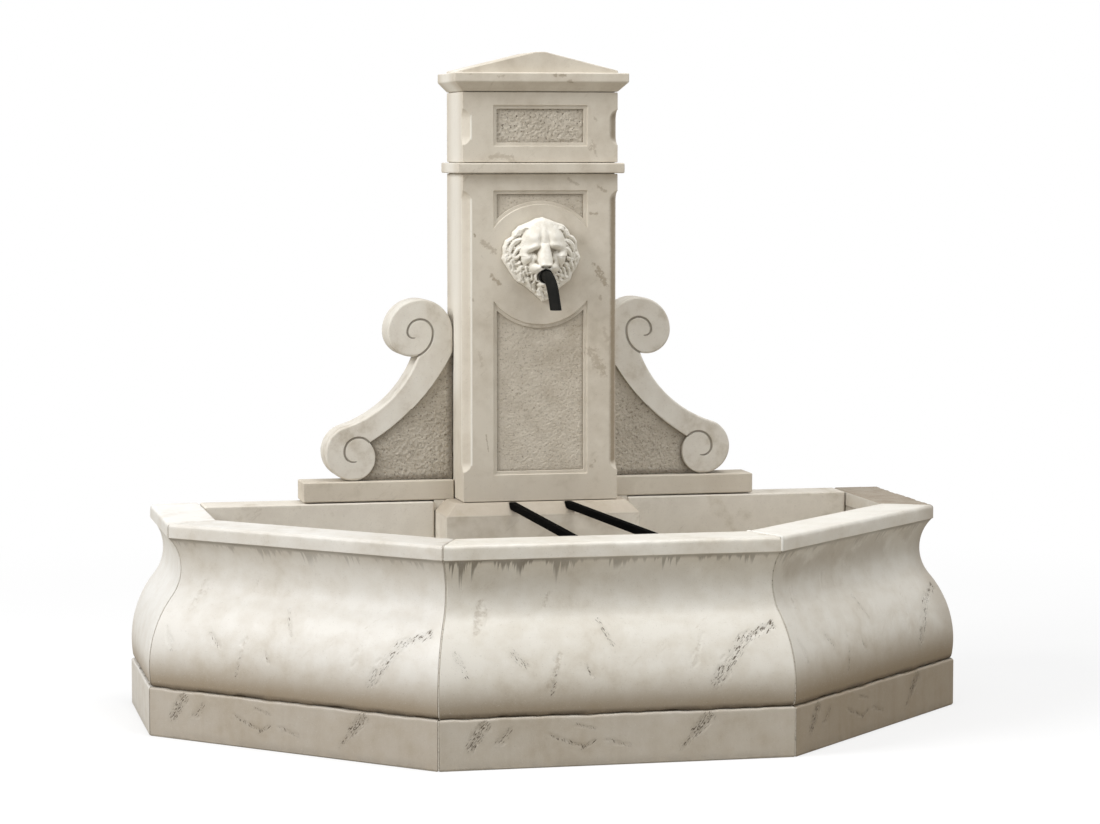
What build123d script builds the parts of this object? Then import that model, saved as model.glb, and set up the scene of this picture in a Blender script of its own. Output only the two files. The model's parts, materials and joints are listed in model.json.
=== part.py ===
from build123d import *
import math
import os

# Half-octagon wall fountain in cast stone: a basin of ogee panels, a pillar with a lion mask and
# spout, two scroll brackets, and the pump, riser and overflow that make it run.
# Millimetres, +Z up, front towards -Y, origin at the bottom centre of the whole fountain.

# Basin plan, measured on the plinth face of the panels
BASIN_WIDTH = 2300.0
BASIN_DEPTH = 1200.0

# Basin panel section
PLINTH_HEIGHT = 133.0
PLINTH_EDGE = 6.0
TUCK_DEPTH = 16.0
TUCK_RADIUS = 11.0
RIM_TOP = 575.0
RIM_FACE = 40.0
RIM_INSET = 57.0
RIM_WIDTH = 140.0
RIM_OUTER_EDGE = 10.0
RIM_INNER_EDGE = 5.0
NECK_INSET = 93.0
NECK_DROP = 83.0
NECK_RADIUS = 120.0
BELLY_INSET = 1.0
BELLY_RISE = 57.0
PANEL_JOINT = 3.0
JOINT_RECESS = 2.5
BACK_WALL = 120.0
BACK_JOINT = 4.0
BACK_RECESS = 12.0
WALL_EDGE = 5.0
FLOOR_SLAB = 80.0

# Pedestal block under the pillar
PEDESTAL_WIDTH = 566.0
PEDESTAL_DEPTH = 287.0
PEDESTAL_STEP = 7.0
PEDESTAL_CHAMFER = 33.0
PEDESTAL_WALL = 56.0
HATCH_WIDTH = 110.0
HATCH_HEIGHT = 150.0
HATCH_FRONT_GAP = 52.0
RISER_HOLE_GAP = 9.0

# Pillar courses
COURSE_BED = 2.0
BED_SETBACK = 5.0
SHAFT_WIDTH = 450.0
SHAFT_DEPTH = 243.0
SHAFT_HEIGHT = 932.0
BAND_OVERHANG = 17.0
BAND_HEIGHT = 29.0
BAND_EDGE = 3.0
FRIEZE_HEIGHT = 198.0
CORNICE_OVERHANG = 27.0
CORNICE_BEVEL = 27.0
CORNICE_FASCIA = 25.0
CORNICE_EDGE = 3.0
GABLE_HALF_WIDTH = 226.0
GABLE_EAVE = 8.0
GABLE_RISE = 52.0
GABLE_CROWN = 14.0

# Sunk panels and stopped chamfers of the pillar
PANEL_HALF_WIDTH = 136.0
PANEL_FOOT = 76.0
PANEL_HEAD = 47.0
FRIEZE_PANEL_FOOT = 46.0
FRIEZE_PANEL_HEAD = 37.0
PANEL_STEP = 10.0
STEP_SINK = 5.0
FIELD_SINK = 13.0
DISC_RADIUS = 171.0
DISC_DROP = 257.0
CHAMFER_LEG = 24.0
CHAMFER_SCOOP = 32.0
CHAMFER_STOP = 80.0
FRIEZE_CHAMFER_STOP = 44.0

# Service chase in the back of the pillar
CHASE_WIDTH = 110.0
CHASE_DEPTH = 175.0
CHASE_HEADROOM = 60.0

# Scroll brackets and their bases
BASE_BED = 4.0
BASE_SEAT_GAP = 2.0
BASE_LENGTH = 441.0
BASE_DEPTH = 115.0
BASE_HEIGHT = 57.0
BASE_EDGE = 4.0
SIDE_JOINT = 3.0
VOLUTE_DEPTH = 102.0
VOLUTE_SINK = 14.0
UPPER_SCROLL = 95.0
UPPER_RISE = 424.0
CURL_RADIUS = 70.0
CURL_TURN = 106.0
BAND_WIDTH = 58.0
EYE_RADIUS = 17.0
EYE_TURN = 110.0
LOWER_SCROLL = 79.0
LOWER_REACH = 292.0
LOWER_CURL = 67.0
LOWER_SEAT = 2.0
LOWER_BAND = 55.0
LOWER_EYE = 26.0
LOWER_GROOVE_BOW = 29.0
THROAT_TURN = 42.0
STEM_JOIN = 68.0
STEM_BOW = 35.0
INNER_DROP = 36.0
INNER_BOW = 33.0
GROOVE_WIDTH = 6.0
GROOVE_DEPTH = 7.0
GROOVE_MOUTH = 4.5
EDGE_OVERRUN = 1.0

# Lion mask
MASK_WIDTH = 230.0
MASK_HEIGHT = 242.0
MASK_RISE = 15.0
MANE_LOCKS = 18
MANE_RADIUS = 24.0
MANE_REACH = 6.0
FACE_RADIUS = 77.0
FACE_REACH = 66.0
BROW_RADIUS = 26.0
BROW_SPREAD = 34.0
BROW_RISE = 34.0
BROW_REACH = 67.0
MUZZLE_RADIUS = 32.0
MUZZLE_SPREAD = 21.0
MUZZLE_RISE = 27.0
MUZZLE_REACH = 92.0
NOSE_RADIUS = 15.0
NOSE_RISE = 54.0
CHIN_RADIUS = 31.0
CHIN_REACH = 64.0
STUD_RADIUS = 4.0
STUD_LENGTH = 50.0
STUD_SPACING = 96.0
STUD_RISE = 40.0

# Spout, riser and valve
PIPE_RADIUS = 16.0
PIPE_WALL = 3.0
SPOUT_DROP = 31.0
SPOUT_STRAIGHT = 80.0
SPOUT_BEND = 110.0
SPOUT_TURN = 55.0
SPOUT_TAIL = 52.0
COLLAR_RADIUS = 19.5
COLLAR_LENGTH = 26.0
SEAL_LENGTH = 25.0
SPOUT_BORE = 20.5
MOUTH_GAP = 0.5
RISER_FROM_BACK = 120.0
FITTING_WALL = 9.0
SOCKET_DEPTH = 22.0
SOCKET_GAP = 0.1
CLIP_WIDTH = 20.0
CLIP_WALL = 3.0
CLIP_HEIGHTS = (180.0, 470.0)
CLIP_SCREW = 2.5
CLIP_SCREW_HEAD = 5.0
CLIP_SCREW_BITE = 12.0
VALVE_HEIGHT = 285.0
BALL_RADIUS = 20.0
VALVE_SEAT = 6.0
BALL_GAP = 0.3
STEM_RADIUS = 5.0
STEM_GAP = 0.06
BONNET_RADIUS = 13.0
BONNET_REACH = 42.0
LEVER_THICK = 5.0
LEVER_WIDTH = 14.0
LEVER_LENGTH = 64.0
LEVER_NUT_FLATS = 15.0
LEVER_NUT = 6.0
LEVER_GAP = 0.5

# Submersible pump
FOOT_HEIGHT = 10.0
FOOT_RADIUS = 9.0
PUMP_WIDTH = 98.0
PUMP_HEIGHT = 90.0
MOTOR_LENGTH = 130.0
MOTOR_EDGE = 12.0
CHAMBER_LENGTH = 36.0
CHAMBER_RADIUS = 43.0
CHAMBER_WALL = 8.0
ROTOR_RADIUS = 15.0
ROTOR_LENGTH = 78.0
ROTOR_GAP = 2.0
IMPELLER_RADIUS = 30.0
IMPELLER_PLATE = 4.0
IMPELLER_HUB = 8.0
IMPELLER_VANES = 6
VANE_THICK = 3.0
SHAFT_PIN_RADIUS = 3.0
SHAFT_PIN_GAP = 0.06
SHAFT_PIN_SEAT = 5.0
COVER_THICK = 8.0
INTAKE_HOLES = 6
INTAKE_HOLE = 5.0
INTAKE_CIRCLE = 16.0
STRAINER_LENGTH = 60.0
STRAINER_WALL = 4.0
STRAINER_EDGE = 6.0
STRAINER_SLOT = 4.0
STRAINER_PITCH = 10.0
PUMP_SCREW = 2.5
PUMP_SCREW_HEAD = 4.0
PUMP_SCREW_INSET = 11.0
PUMP_SCREW_BITE = 14.0
GLAND_FLATS = 22.0
GLAND_NUT = 9.0
GLAND_RADIUS = 9.0
GLAND_LENGTH = 24.0
GLAND_BORE = 4.0

# Drain and overflow
DRAIN_FROM_SIDE = 253.0
DRAIN_FROM_FRONT = 660.0
FLANGE_RADIUS = 40.0
FLANGE_THICK = 6.0
DRAIN_SEAL = 3.0
TAIL_RADIUS = 25.0
TAIL_GAP = 1.0
DRAIN_BORE = 16.0
STANDPIPE_RADIUS = 20.0
STANDPIPE_WALL = 3.0
STANDPIPE_GAP = 0.08
STANDPIPE_SEAT = 40.0
OVERFLOW_LEVEL = 470.0
DRAIN_NUT_FLATS = 66.0
DRAIN_NUT = 14.0
DRAIN_NUT_ROOM = 8.0

# Bucket rest bars
BAR_SIDE = 20.0
BAR_REAR_X = (-83.0, 82.0)
BAR_FRONT_X = (-57.5, 168.0)
BAR_FRONT_SINK = 9.0
BAR_BITE = 36.0
BAR_GAP = 0.5

# Locating dowels
DOWEL_RADIUS = 6.0
DOWEL_BITE = 40.0
DOWEL_GAP = 0.3
COLUMN_DOWEL_X = 160.0
VOLUTE_DOWEL_INSET = 110.0

# Places worked out from the sizes above
HALF_SIDE = 22.5
FRONT_Y = -BASIN_DEPTH / 2
BACK_Y = BASIN_DEPTH / 2
APOTHEM = BASIN_WIDTH / 2
CENTRE_Y = FRONT_Y + APOTHEM
INNER_INSET = RIM_INSET + RIM_WIDTH
INNER_APOTHEM = APOTHEM - INNER_INSET
RIM_BOTTOM = RIM_TOP - RIM_FACE
PEDESTAL_TOP = RIM_TOP + PEDESTAL_STEP
BACK_FACE_Y = BACK_Y - BACK_WALL
PEDESTAL_FRONT = BACK_Y - PEDESTAL_DEPTH
PEDESTAL_HALF = PEDESTAL_WIDTH / 2
SHAFT_FRONT = BACK_Y - SHAFT_DEPTH
SHAFT_HALF = SHAFT_WIDTH / 2
SHAFT_BOTTOM = PEDESTAL_TOP + COURSE_BED
SHAFT_TOP = SHAFT_BOTTOM + SHAFT_HEIGHT
BAND_BOTTOM = SHAFT_TOP + COURSE_BED
BAND_TOP = BAND_BOTTOM + BAND_HEIGHT
FRIEZE_BOTTOM = BAND_TOP + COURSE_BED
FRIEZE_TOP = FRIEZE_BOTTOM + FRIEZE_HEIGHT
CORNICE_BOTTOM = FRIEZE_TOP + COURSE_BED
FASCIA_BOTTOM = CORNICE_BOTTOM + CORNICE_BEVEL
FASCIA_TOP = FASCIA_BOTTOM + CORNICE_FASCIA
DISC_Z = SHAFT_TOP - DISC_DROP
SPOUT_Z = DISC_Z - SPOUT_DROP
MASK_Z = DISC_Z + MASK_RISE
RISER_Y = BACK_Y - RISER_FROM_BACK
CHASE_FRONT = BACK_Y - CHASE_DEPTH
CHASE_TOP = SPOUT_Z + CHASE_HEADROOM
BASE_BOTTOM = RIM_TOP + BASE_BED
BASE_TOP = BASE_BOTTOM + BASE_HEIGHT
VOLUTE_BOTTOM = BASE_TOP + COURSE_BED
VOLUTE_SIDE = SHAFT_HALF + SIDE_JOINT
FITTING_RADIUS = PIPE_RADIUS + FITTING_WALL
PIPE_BORE = PIPE_RADIUS - PIPE_WALL
PUMP_BOTTOM = FLOOR_SLAB + FOOT_HEIGHT
PUMP_Z = PUMP_BOTTOM + PUMP_HEIGHT / 2
CHAMBER_HALF = CHAMBER_LENGTH / 2
OUTLET_Z = PUMP_Z + CHAMBER_RADIUS + CHAMBER_WALL / 2
VALVE_Z = FLOOR_SLAB + VALVE_HEIGHT
VALVE_PORT = BALL_RADIUS + VALVE_SEAT
VALVE_HALF = VALVE_PORT + SOCKET_DEPTH
ELBOW_ARM = PIPE_RADIUS + SOCKET_DEPTH
DRAIN_X = DRAIN_FROM_SIDE - INNER_APOTHEM
DRAIN_Y = FRONT_Y + DRAIN_FROM_FRONT
FLANGE_TOP = FLOOR_SLAB + DRAIN_SEAL + FLANGE_THICK
SEAT_Z = FLANGE_TOP - STANDPIPE_SEAT


def block(x_span, y_span, z_span):
    """Box between two x, two y and two z values."""
    size = [b - a for a, b in (x_span, y_span, z_span)]
    middle = [(a + b) / 2 for a, b in (x_span, y_span, z_span)]
    return Pos(*middle) * Box(*size)


def rod_x(radius, x_span, y, z):
    """Cylinder along X between two x values."""
    length = x_span[1] - x_span[0]
    return Pos((x_span[0] + x_span[1]) / 2, y, z) * Rot(0, 90, 0) * Cylinder(radius, length)


def rod_y(radius, x, y_span, z):
    """Cylinder along Y between two y values."""
    length = y_span[1] - y_span[0]
    return Pos(x, (y_span[0] + y_span[1]) / 2, z) * Rot(90, 0, 0) * Cylinder(radius, length)


def rod_z(radius, x, y, z_span):
    """Cylinder along Z between two z values."""
    length = z_span[1] - z_span[0]
    return Pos(x, y, (z_span[0] + z_span[1]) / 2) * Cylinder(radius, length)


def hex_x(flats, x_span, y, z):
    """Hexagonal prism along X."""
    plane = Plane((x_span[0], y, z), x_dir=(0, 1, 0), z_dir=(1, 0, 0))
    face = plane * RegularPolygon(flats / 2, 6, major_radius=False)
    return extrude(face, amount=x_span[1] - x_span[0])


def hex_z(flats, x, y, z_span):
    """Hexagonal prism along Z."""
    face = Pos(x, y, z_span[0]) * RegularPolygon(flats / 2, 6, major_radius=False)
    return extrude(face, amount=z_span[1] - z_span[0])


def arc_about(centre, start, end):
    """Arc of under a half circle about a centre, from start to end."""
    to_start = Vector(*start) - Vector(*centre)
    to_end = Vector(*end) - Vector(*centre)
    bisector = (to_start.normalized() + to_end.normalized()).normalized()
    middle = Vector(*centre) + bisector * to_start.length
    return ThreePointArc(start, (middle.X, middle.Y), end)


def bowed_arc(start, end, bow):
    """Arc from start to end that bows out by a distance to the right of the way."""
    chord = Vector(*end) - Vector(*start)
    right = Vector(chord.Y, -chord.X).normalized()
    middle = Vector(*start) + chord * 0.5 + right * bow
    return ThreePointArc(start, (middle.X, middle.Y), end)


def on_circle(centre, radius, degrees):
    """Point on a circle at an angle from +X."""
    angle = math.radians(degrees)
    return (centre[0] + radius * math.cos(angle), centre[1] + radius * math.sin(angle))


def group(pieces):
    """Several separate solids in one node."""
    return Compound(children=[solid for piece in pieces for solid in piece.solids()])


def about_centre(solid, turn):
    """Turn a solid about the vertical axis through the octagon's centre."""
    return Pos(0, CENTRE_Y, 0) * Rot(0, 0, turn) * Pos(0, -CENTRE_Y, 0) * solid


# Section of a basin panel: plinth, tucked belly, neck and rim
def panel_section():
    face_y = FRONT_Y
    inner_y = FRONT_Y + INNER_INSET
    rim_y = FRONT_Y + RIM_INSET
    neck_z = RIM_BOTTOM - NECK_DROP
    belly_z = PLINTH_HEIGHT + BELLY_RISE
    throw = NECK_INSET - BELLY_INSET
    rise = neck_z - belly_z
    radii = (throw ** 2 + rise ** 2) / (2 * throw)
    belly_radius = radii - NECK_RADIUS
    neck_centre = (face_y + NECK_INSET - NECK_RADIUS, neck_z)
    belly_centre = (face_y + BELLY_INSET + belly_radius, belly_z)
    share = NECK_RADIUS / radii
    turn_point = (
        neck_centre[0] + (belly_centre[0] - neck_centre[0]) * share,
        neck_centre[1] + (belly_centre[1] - neck_centre[1]) * share,
    )
    neck_top = (neck_centre[0] + math.sqrt(NECK_RADIUS ** 2 - NECK_DROP ** 2), RIM_BOTTOM)
    foot_z = PLINTH_HEIGHT + TUCK_RADIUS
    foot = (belly_centre[0] - math.sqrt(belly_radius ** 2 - (belly_z - foot_z) ** 2), foot_z)
    tuck = (face_y + TUCK_DEPTH, PLINTH_HEIGHT)
    ledge = (face_y + PLINTH_EDGE, PLINTH_HEIGHT)
    ledge_foot = (face_y, PLINTH_HEIGHT - PLINTH_EDGE)
    lip = (rim_y + RIM_OUTER_EDGE, RIM_TOP)
    lip_foot = (rim_y, RIM_TOP - RIM_OUTER_EDGE)
    inner_lip = (inner_y - RIM_INNER_EDGE, RIM_TOP)
    inner_foot = (inner_y, RIM_TOP - RIM_INNER_EDGE)
    edges = [
        Line((inner_y, 0), (face_y, 0)),
        Line((face_y, 0), ledge_foot),
        arc_about((face_y + PLINTH_EDGE, PLINTH_HEIGHT - PLINTH_EDGE), ledge_foot, ledge),
        Line(ledge, tuck),
        arc_about((tuck[0], foot_z), tuck, (tuck[0] - TUCK_RADIUS, foot_z)),
        Line((tuck[0] - TUCK_RADIUS, foot_z), foot),
        arc_about(belly_centre, foot, turn_point),
        arc_about(neck_centre, turn_point, neck_top),
        Line(neck_top, (rim_y, RIM_BOTTOM)),
        Line((rim_y, RIM_BOTTOM), lip_foot),
        arc_about((rim_y + RIM_OUTER_EDGE, RIM_TOP - RIM_OUTER_EDGE), lip_foot, lip),
        Line(lip, inner_lip),
        arc_about((inner_y - RIM_INNER_EDGE, RIM_TOP - RIM_INNER_EDGE), inner_lip, inner_foot),
        Line(inner_foot, (inner_y, 0)),
    ]
    return make_face(edges)


def panel_run(section):
    """A long straight run of the front panel's section, across the whole width."""
    return extrude(Plane.YZ * section, amount=APOTHEM, both=True)


def mitre_plane(side, shift):
    """Upright mitre plane at one end of the front panel, facing away from the panel."""
    angle = math.radians(HALF_SIDE)
    normal = Vector(side * math.cos(angle), math.sin(angle), 0)
    return Plane(Vector(0, CENTRE_Y, 0) + normal * shift, z_dir=normal)


def square_plane(side):
    """Upright plane that trims a side panel at the back of the fountain."""
    return Plane((side * (BACK_Y - CENTRE_Y), 0, 0), z_dir=(side, 0, 0))


def basin_panel(section, turn, square_end=0):
    """One basin panel, mitred at both ends or cut square at the end that meets the wall."""
    panel = panel_run(section)
    for side in (-1, 1):
        plane = square_plane(side) if side == square_end else mitre_plane(side, -PANEL_JOINT / 2)
        panel = split(panel, bisect_by=plane, keep=Keep.BOTTOM)
    return about_centre(panel, turn)


def mitre_joint(section, turn):
    """Mortar in the mitre at the right-hand end of a panel, raked back from the faces."""
    joint = panel_run(offset(section, -JOINT_RECESS))
    joint = split(joint, bisect_by=mitre_plane(1, PANEL_JOINT / 2), keep=Keep.BOTTOM)
    joint = split(joint, bisect_by=mitre_plane(1, -PANEL_JOINT / 2), keep=Keep.TOP)
    return about_centre(joint, turn)


def bar(index, grow):
    """Square bar from its notch in the pedestal to its socket in the front panel."""
    half = BAR_SIDE / 2
    rear = Vector(BAR_REAR_X[index], PEDESTAL_FRONT, PEDESTAL_TOP - half)
    front = Vector(BAR_FRONT_X[index], FRONT_Y + INNER_INSET, RIM_TOP - BAR_FRONT_SINK - half)
    step = (front - rear).normalized()
    start = rear - step * (BAR_BITE + grow)
    end = front + step * (BAR_BITE + grow)
    plane = Plane(start, x_dir=(1, 0, 0), z_dir=step)
    side = BAR_SIDE + 2 * grow
    return extrude(plane * Rectangle(side, side), amount=(end - start).length)


def basin_parts():
    section = panel_section()
    seats = [bar(index, BAR_GAP) for index in (0, 1)]
    inner_x = INNER_APOTHEM
    drain_hole = rod_z(TAIL_RADIUS + TAIL_GAP, DRAIN_X, DRAIN_Y, (-1, FLOOR_SLAB + 1))
    nut_room_radius = DRAIN_NUT_FLATS / math.sqrt(3) + DRAIN_NUT_ROOM
    nut_room = rod_z(nut_room_radius, DRAIN_X, DRAIN_Y, (-1, DRAIN_NUT + DRAIN_NUT_ROOM))
    corner_x = INNER_APOTHEM * math.tan(math.radians(HALF_SIDE))
    corner_y = CENTRE_Y - INNER_APOTHEM
    side_y = CENTRE_Y - corner_x
    half_plan = [(corner_x, corner_y), (inner_x, side_y), (inner_x, BACK_FACE_Y)]
    half_plan += [(PEDESTAL_HALF, BACK_FACE_Y), (PEDESTAL_HALF, BACK_Y)]
    plan = half_plan + [(-x, y) for x, y in reversed(half_plan)]
    floor = extrude(make_face(Polyline(*plan, close=True)), amount=FLOOR_SLAB)
    floor = floor - drain_hole - nut_room

    parts = {
        "basin_floor": floor,
        "front_panel": basin_panel(section, 0) - seats,
        "left_front_panel": basin_panel(section, -2 * HALF_SIDE),
        "right_front_panel": basin_panel(section, 2 * HALF_SIDE),
        "left_side_panel": basin_panel(section, -4 * HALF_SIDE, square_end=-1),
        "right_side_panel": basin_panel(section, 4 * HALF_SIDE, square_end=1),
    }
    joints = [mitre_joint(section, turn * HALF_SIDE) for turn in (-4, -2, 0, 2)]
    joint_y = (BACK_FACE_Y + BACK_RECESS, BACK_Y - BACK_RECESS)
    joint_z = (0, RIM_TOP - BACK_RECESS)
    for name, side in (("left", -1), ("right", 1)):
        near = PEDESTAL_HALF + BACK_JOINT
        far = inner_x - BACK_JOINT
        span = sorted((side * near, side * far))
        wall = block(span, (BACK_FACE_Y, BACK_Y), (0, RIM_TOP))
        wall = fillet(wall.edges().filter_by(Axis.X).group_by(Axis.Z)[-1], WALL_EDGE)
        for dowel in volute_dowels(side, DOWEL_GAP):
            wall -= dowel
        parts[name + "_back_panel"] = wall
        for low, high in ((PEDESTAL_HALF, near), (far, inner_x)):
            joints.append(block(sorted((side * low, side * high)), joint_y, joint_z))
    parts["basin_joints"] = group(joints)
    for index, name in enumerate(("left", "right")):
        parts[name + "_bucket_bar"] = bar(index, 0)
    return parts


# Dowels: pins along Z, grown by a clearance where they are cut out of the stone
def volute_dowels(side, grow):
    """Two pins through a bracket's base, from the back panel up into the bracket."""
    near = VOLUTE_SIDE + VOLUTE_DOWEL_INSET
    far = VOLUTE_SIDE + LOWER_REACH
    depth_y = BACK_Y - VOLUTE_DEPTH / 2
    span = (RIM_TOP - DOWEL_BITE - grow, VOLUTE_BOTTOM + DOWEL_BITE + grow)
    return [rod_z(DOWEL_RADIUS + grow, side * x, depth_y, span) for x in (near, far)]


def column_dowels(grow):
    """Pins between the pedestal and the pillar, and between the pillar's courses."""
    joints = [(PEDESTAL_TOP, SHAFT_BOTTOM), (SHAFT_TOP, FRIEZE_BOTTOM), (FRIEZE_TOP, CORNICE_BOTTOM)]
    depth_y = BACK_Y - SHAFT_DEPTH / 2
    pins = []
    for low, high in joints:
        span = (low - DOWEL_BITE - grow, high + DOWEL_BITE + grow)
        for side in (-1, 1):
            pins.append(rod_z(DOWEL_RADIUS + grow, side * COLUMN_DOWEL_X, depth_y, span))
    return pins


def pedestal():
    """Hollow block with chamfered top edges, a pump hatch on the right, bar notches and base seats."""
    body = block((-PEDESTAL_HALF, PEDESTAL_HALF), (PEDESTAL_FRONT, BACK_Y), (FLOOR_SLAB, PEDESTAL_TOP))
    rim = body.edges().group_by(Axis.Z)[-1].sort_by(Axis.Y)[:-1]
    body = chamfer(rim, PEDESTAL_CHAMFER)
    half = PEDESTAL_HALF - PEDESTAL_WALL
    depth = (PEDESTAL_FRONT + PEDESTAL_WALL, BACK_Y - PEDESTAL_WALL)
    body -= block((-half, half), depth, (FLOOR_SLAB - 1, PEDESTAL_TOP - PEDESTAL_WALL))
    hatch_y = PEDESTAL_FRONT + HATCH_FRONT_GAP + HATCH_WIDTH / 2
    hatch_half = HATCH_WIDTH / 2
    spring = FLOOR_SLAB + HATCH_HEIGHT - hatch_half
    through = (half - 1, PEDESTAL_HALF + 1)
    body -= block(through, (hatch_y - hatch_half, hatch_y + hatch_half), (FLOOR_SLAB - 1, spring))
    body -= rod_x(hatch_half, through, hatch_y, spring)
    roof = (PEDESTAL_TOP - PEDESTAL_WALL - 1, PEDESTAL_TOP + 1)
    body -= rod_z(PIPE_RADIUS + RISER_HOLE_GAP, 0, RISER_Y, roof)
    seat_y = (BACK_Y - BASE_DEPTH - BASE_SEAT_GAP, BACK_Y + 1)
    seat_z = (BASE_BOTTOM - BASE_SEAT_GAP, PEDESTAL_TOP + 1)
    for side in (-1, 1):
        seat_x = sorted((side * (VOLUTE_SIDE - BASE_SEAT_GAP), side * (PEDESTAL_HALF + 1)))
        body -= block(seat_x, seat_y, seat_z)
    for cut in [bar(0, BAR_GAP), bar(1, BAR_GAP)] + column_dowels(DOWEL_GAP)[:2]:
        body -= cut
    return body


def front_plane(y):
    """Upright drawing plane that faces the front, with X across and Z up."""
    return Plane((0, y, 0), x_dir=(1, 0, 0), z_dir=(0, -1, 0))


def sunk_rectangle(half_width, low, high, inset):
    """Upright rectangle, drawn in by an inset on every side."""
    middle = Pos(0, (low + high) / 2)
    return middle * Rectangle(2 * (half_width - inset), high - low - 2 * inset)


def stopped_chamfer(side, low, high):
    """Cutter for a chamfer on a front corner, scooped out to nothing at both ends."""
    lean = 1 / math.sqrt(2)
    back_off = CHAMFER_LEG / 2
    origin = (side * (SHAFT_HALF - back_off), SHAFT_FRONT + back_off, (low + high) / 2)
    plane = Plane(origin, x_dir=(side * lean, -lean, 0), z_dir=(-lean, -side * lean, 0))
    tray = Pos(CHAMFER_SCOOP, 0) * SlotOverall(high - low, 2 * CHAMFER_SCOOP, rotation=90)
    return extrude(plane * tray, amount=CHAMFER_LEG * 2, both=True)


def shaft():
    """Pillar shaft with a sunk panel round a plain disc, stopped chamfers and a chase at the back."""
    body = block((-SHAFT_HALF, SHAFT_HALF), (SHAFT_FRONT, BACK_Y), (SHAFT_BOTTOM, SHAFT_TOP))
    low = SHAFT_BOTTOM + PANEL_FOOT
    high = SHAFT_TOP - PANEL_HEAD
    for inset, sink in ((0, STEP_SINK), (PANEL_STEP, FIELD_SINK)):
        disc = Pos(0, DISC_Z) * Circle(DISC_RADIUS + inset)
        field = sunk_rectangle(PANEL_HALF_WIDTH, low, high, inset) - disc
        body -= extrude(front_plane(SHAFT_FRONT) * field, amount=-sink)
    for side in (-1, 1):
        body -= stopped_chamfer(side, SHAFT_BOTTOM + CHAMFER_STOP, SHAFT_TOP - FRIEZE_CHAMFER_STOP)
    chase_half = CHASE_WIDTH / 2
    body -= block((-chase_half, chase_half), (CHASE_FRONT, BACK_Y + 1), (SHAFT_BOTTOM - 1, CHASE_TOP))
    body -= rod_y(SPOUT_BORE, 0, (SHAFT_FRONT - 1, CHASE_FRONT + 1), SPOUT_Z)
    for cut in column_dowels(DOWEL_GAP)[:4] + mask_studs(DOWEL_GAP) + clip_screws(DOWEL_GAP):
        body -= cut
    return body


def band_course():
    """Plain projecting course between shaft and frieze."""
    half = SHAFT_HALF + BAND_OVERHANG
    body = block((-half, half), (SHAFT_FRONT - BAND_OVERHANG, BACK_Y), (BAND_BOTTOM, BAND_TOP))
    front_edges = body.edges().filter_by(lambda edge: edge.center().Y < BACK_Y - 1)
    body = fillet(front_edges, BAND_EDGE)
    for cut in column_dowels(DOWEL_GAP)[2:4]:
        body -= cut
    return body


def frieze_block():
    """Upper block with its own sunk panel and stopped chamfers."""
    body = block((-SHAFT_HALF, SHAFT_HALF), (SHAFT_FRONT, BACK_Y), (FRIEZE_BOTTOM, FRIEZE_TOP))
    low = FRIEZE_BOTTOM + FRIEZE_PANEL_FOOT
    high = FRIEZE_TOP - FRIEZE_PANEL_HEAD
    for inset, sink in ((0, STEP_SINK), (PANEL_STEP, FIELD_SINK)):
        field = sunk_rectangle(PANEL_HALF_WIDTH, low, high, inset)
        body -= extrude(front_plane(SHAFT_FRONT) * field, amount=-sink)
    for side in (-1, 1):
        ends = (FRIEZE_BOTTOM + FRIEZE_CHAMFER_STOP, FRIEZE_TOP - FRIEZE_CHAMFER_STOP)
        body -= stopped_chamfer(side, *ends)
    for cut in column_dowels(DOWEL_GAP)[2:]:
        body -= cut
    return body


def plan_rectangle(overhang, z):
    """Plan of the pillar, grown at the front and sides and flush at the back."""
    depth = SHAFT_DEPTH + overhang
    return Pos(0, BACK_Y - depth / 2, z) * Rectangle(SHAFT_WIDTH + 2 * overhang, depth)


def cornice_cap():
    """Capping stone: bevelled bed mould, fascia and a low gable with its ridge running back."""
    bed = plan_rectangle(0, CORNICE_BOTTOM)
    bevel = loft([bed, plan_rectangle(CORNICE_OVERHANG, FASCIA_BOTTOM)], ruled=True)
    fascia = extrude(plan_rectangle(CORNICE_OVERHANG, FASCIA_BOTTOM), amount=CORNICE_FASCIA)
    front_edges = fascia.edges().filter_by(lambda edge: edge.center().Y < BACK_Y - 1)
    fascia = fillet(front_edges.group_by(Axis.Z)[-1], CORNICE_EDGE)
    eave = FASCIA_TOP + GABLE_EAVE
    ridge = eave + GABLE_RISE
    half_gable = [(GABLE_HALF_WIDTH, FASCIA_TOP), (GABLE_HALF_WIDTH, eave), (GABLE_CROWN, ridge)]
    outline = half_gable + [(-x, z) for x, z in reversed(half_gable)]
    gable_face = front_plane(SHAFT_FRONT) * make_face(Polyline(*outline, close=True))
    body = bevel + fascia + extrude(gable_face, amount=-SHAFT_DEPTH)
    for cut in column_dowels(DOWEL_GAP)[4:]:
        body -= cut
    return body


def bed_joints():
    """Mortar beds under the courses, set back from the faces."""
    half = SHAFT_HALF - BED_SETBACK
    depth = (SHAFT_FRONT + FIELD_SINK + BED_SETBACK, BACK_Y - BED_SETBACK)
    chase_half = CHASE_WIDTH / 2
    foot = block((-half, half), depth, (PEDESTAL_TOP, SHAFT_BOTTOM))
    chase_z = (PEDESTAL_TOP - 1, SHAFT_BOTTOM + 1)
    foot -= block((-chase_half, chase_half), (CHASE_FRONT, BACK_Y + 1), chase_z)
    beds = [foot]
    courses = [(SHAFT_TOP, BAND_BOTTOM), (BAND_TOP, FRIEZE_BOTTOM), (FRIEZE_TOP, CORNICE_BOTTOM)]
    for low, high in courses:
        beds.append(block((-half, half), depth, (low, high)))
    for pin in column_dowels(DOWEL_GAP):
        beds = [bed - pin for bed in beds]
    return group(beds)


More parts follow.
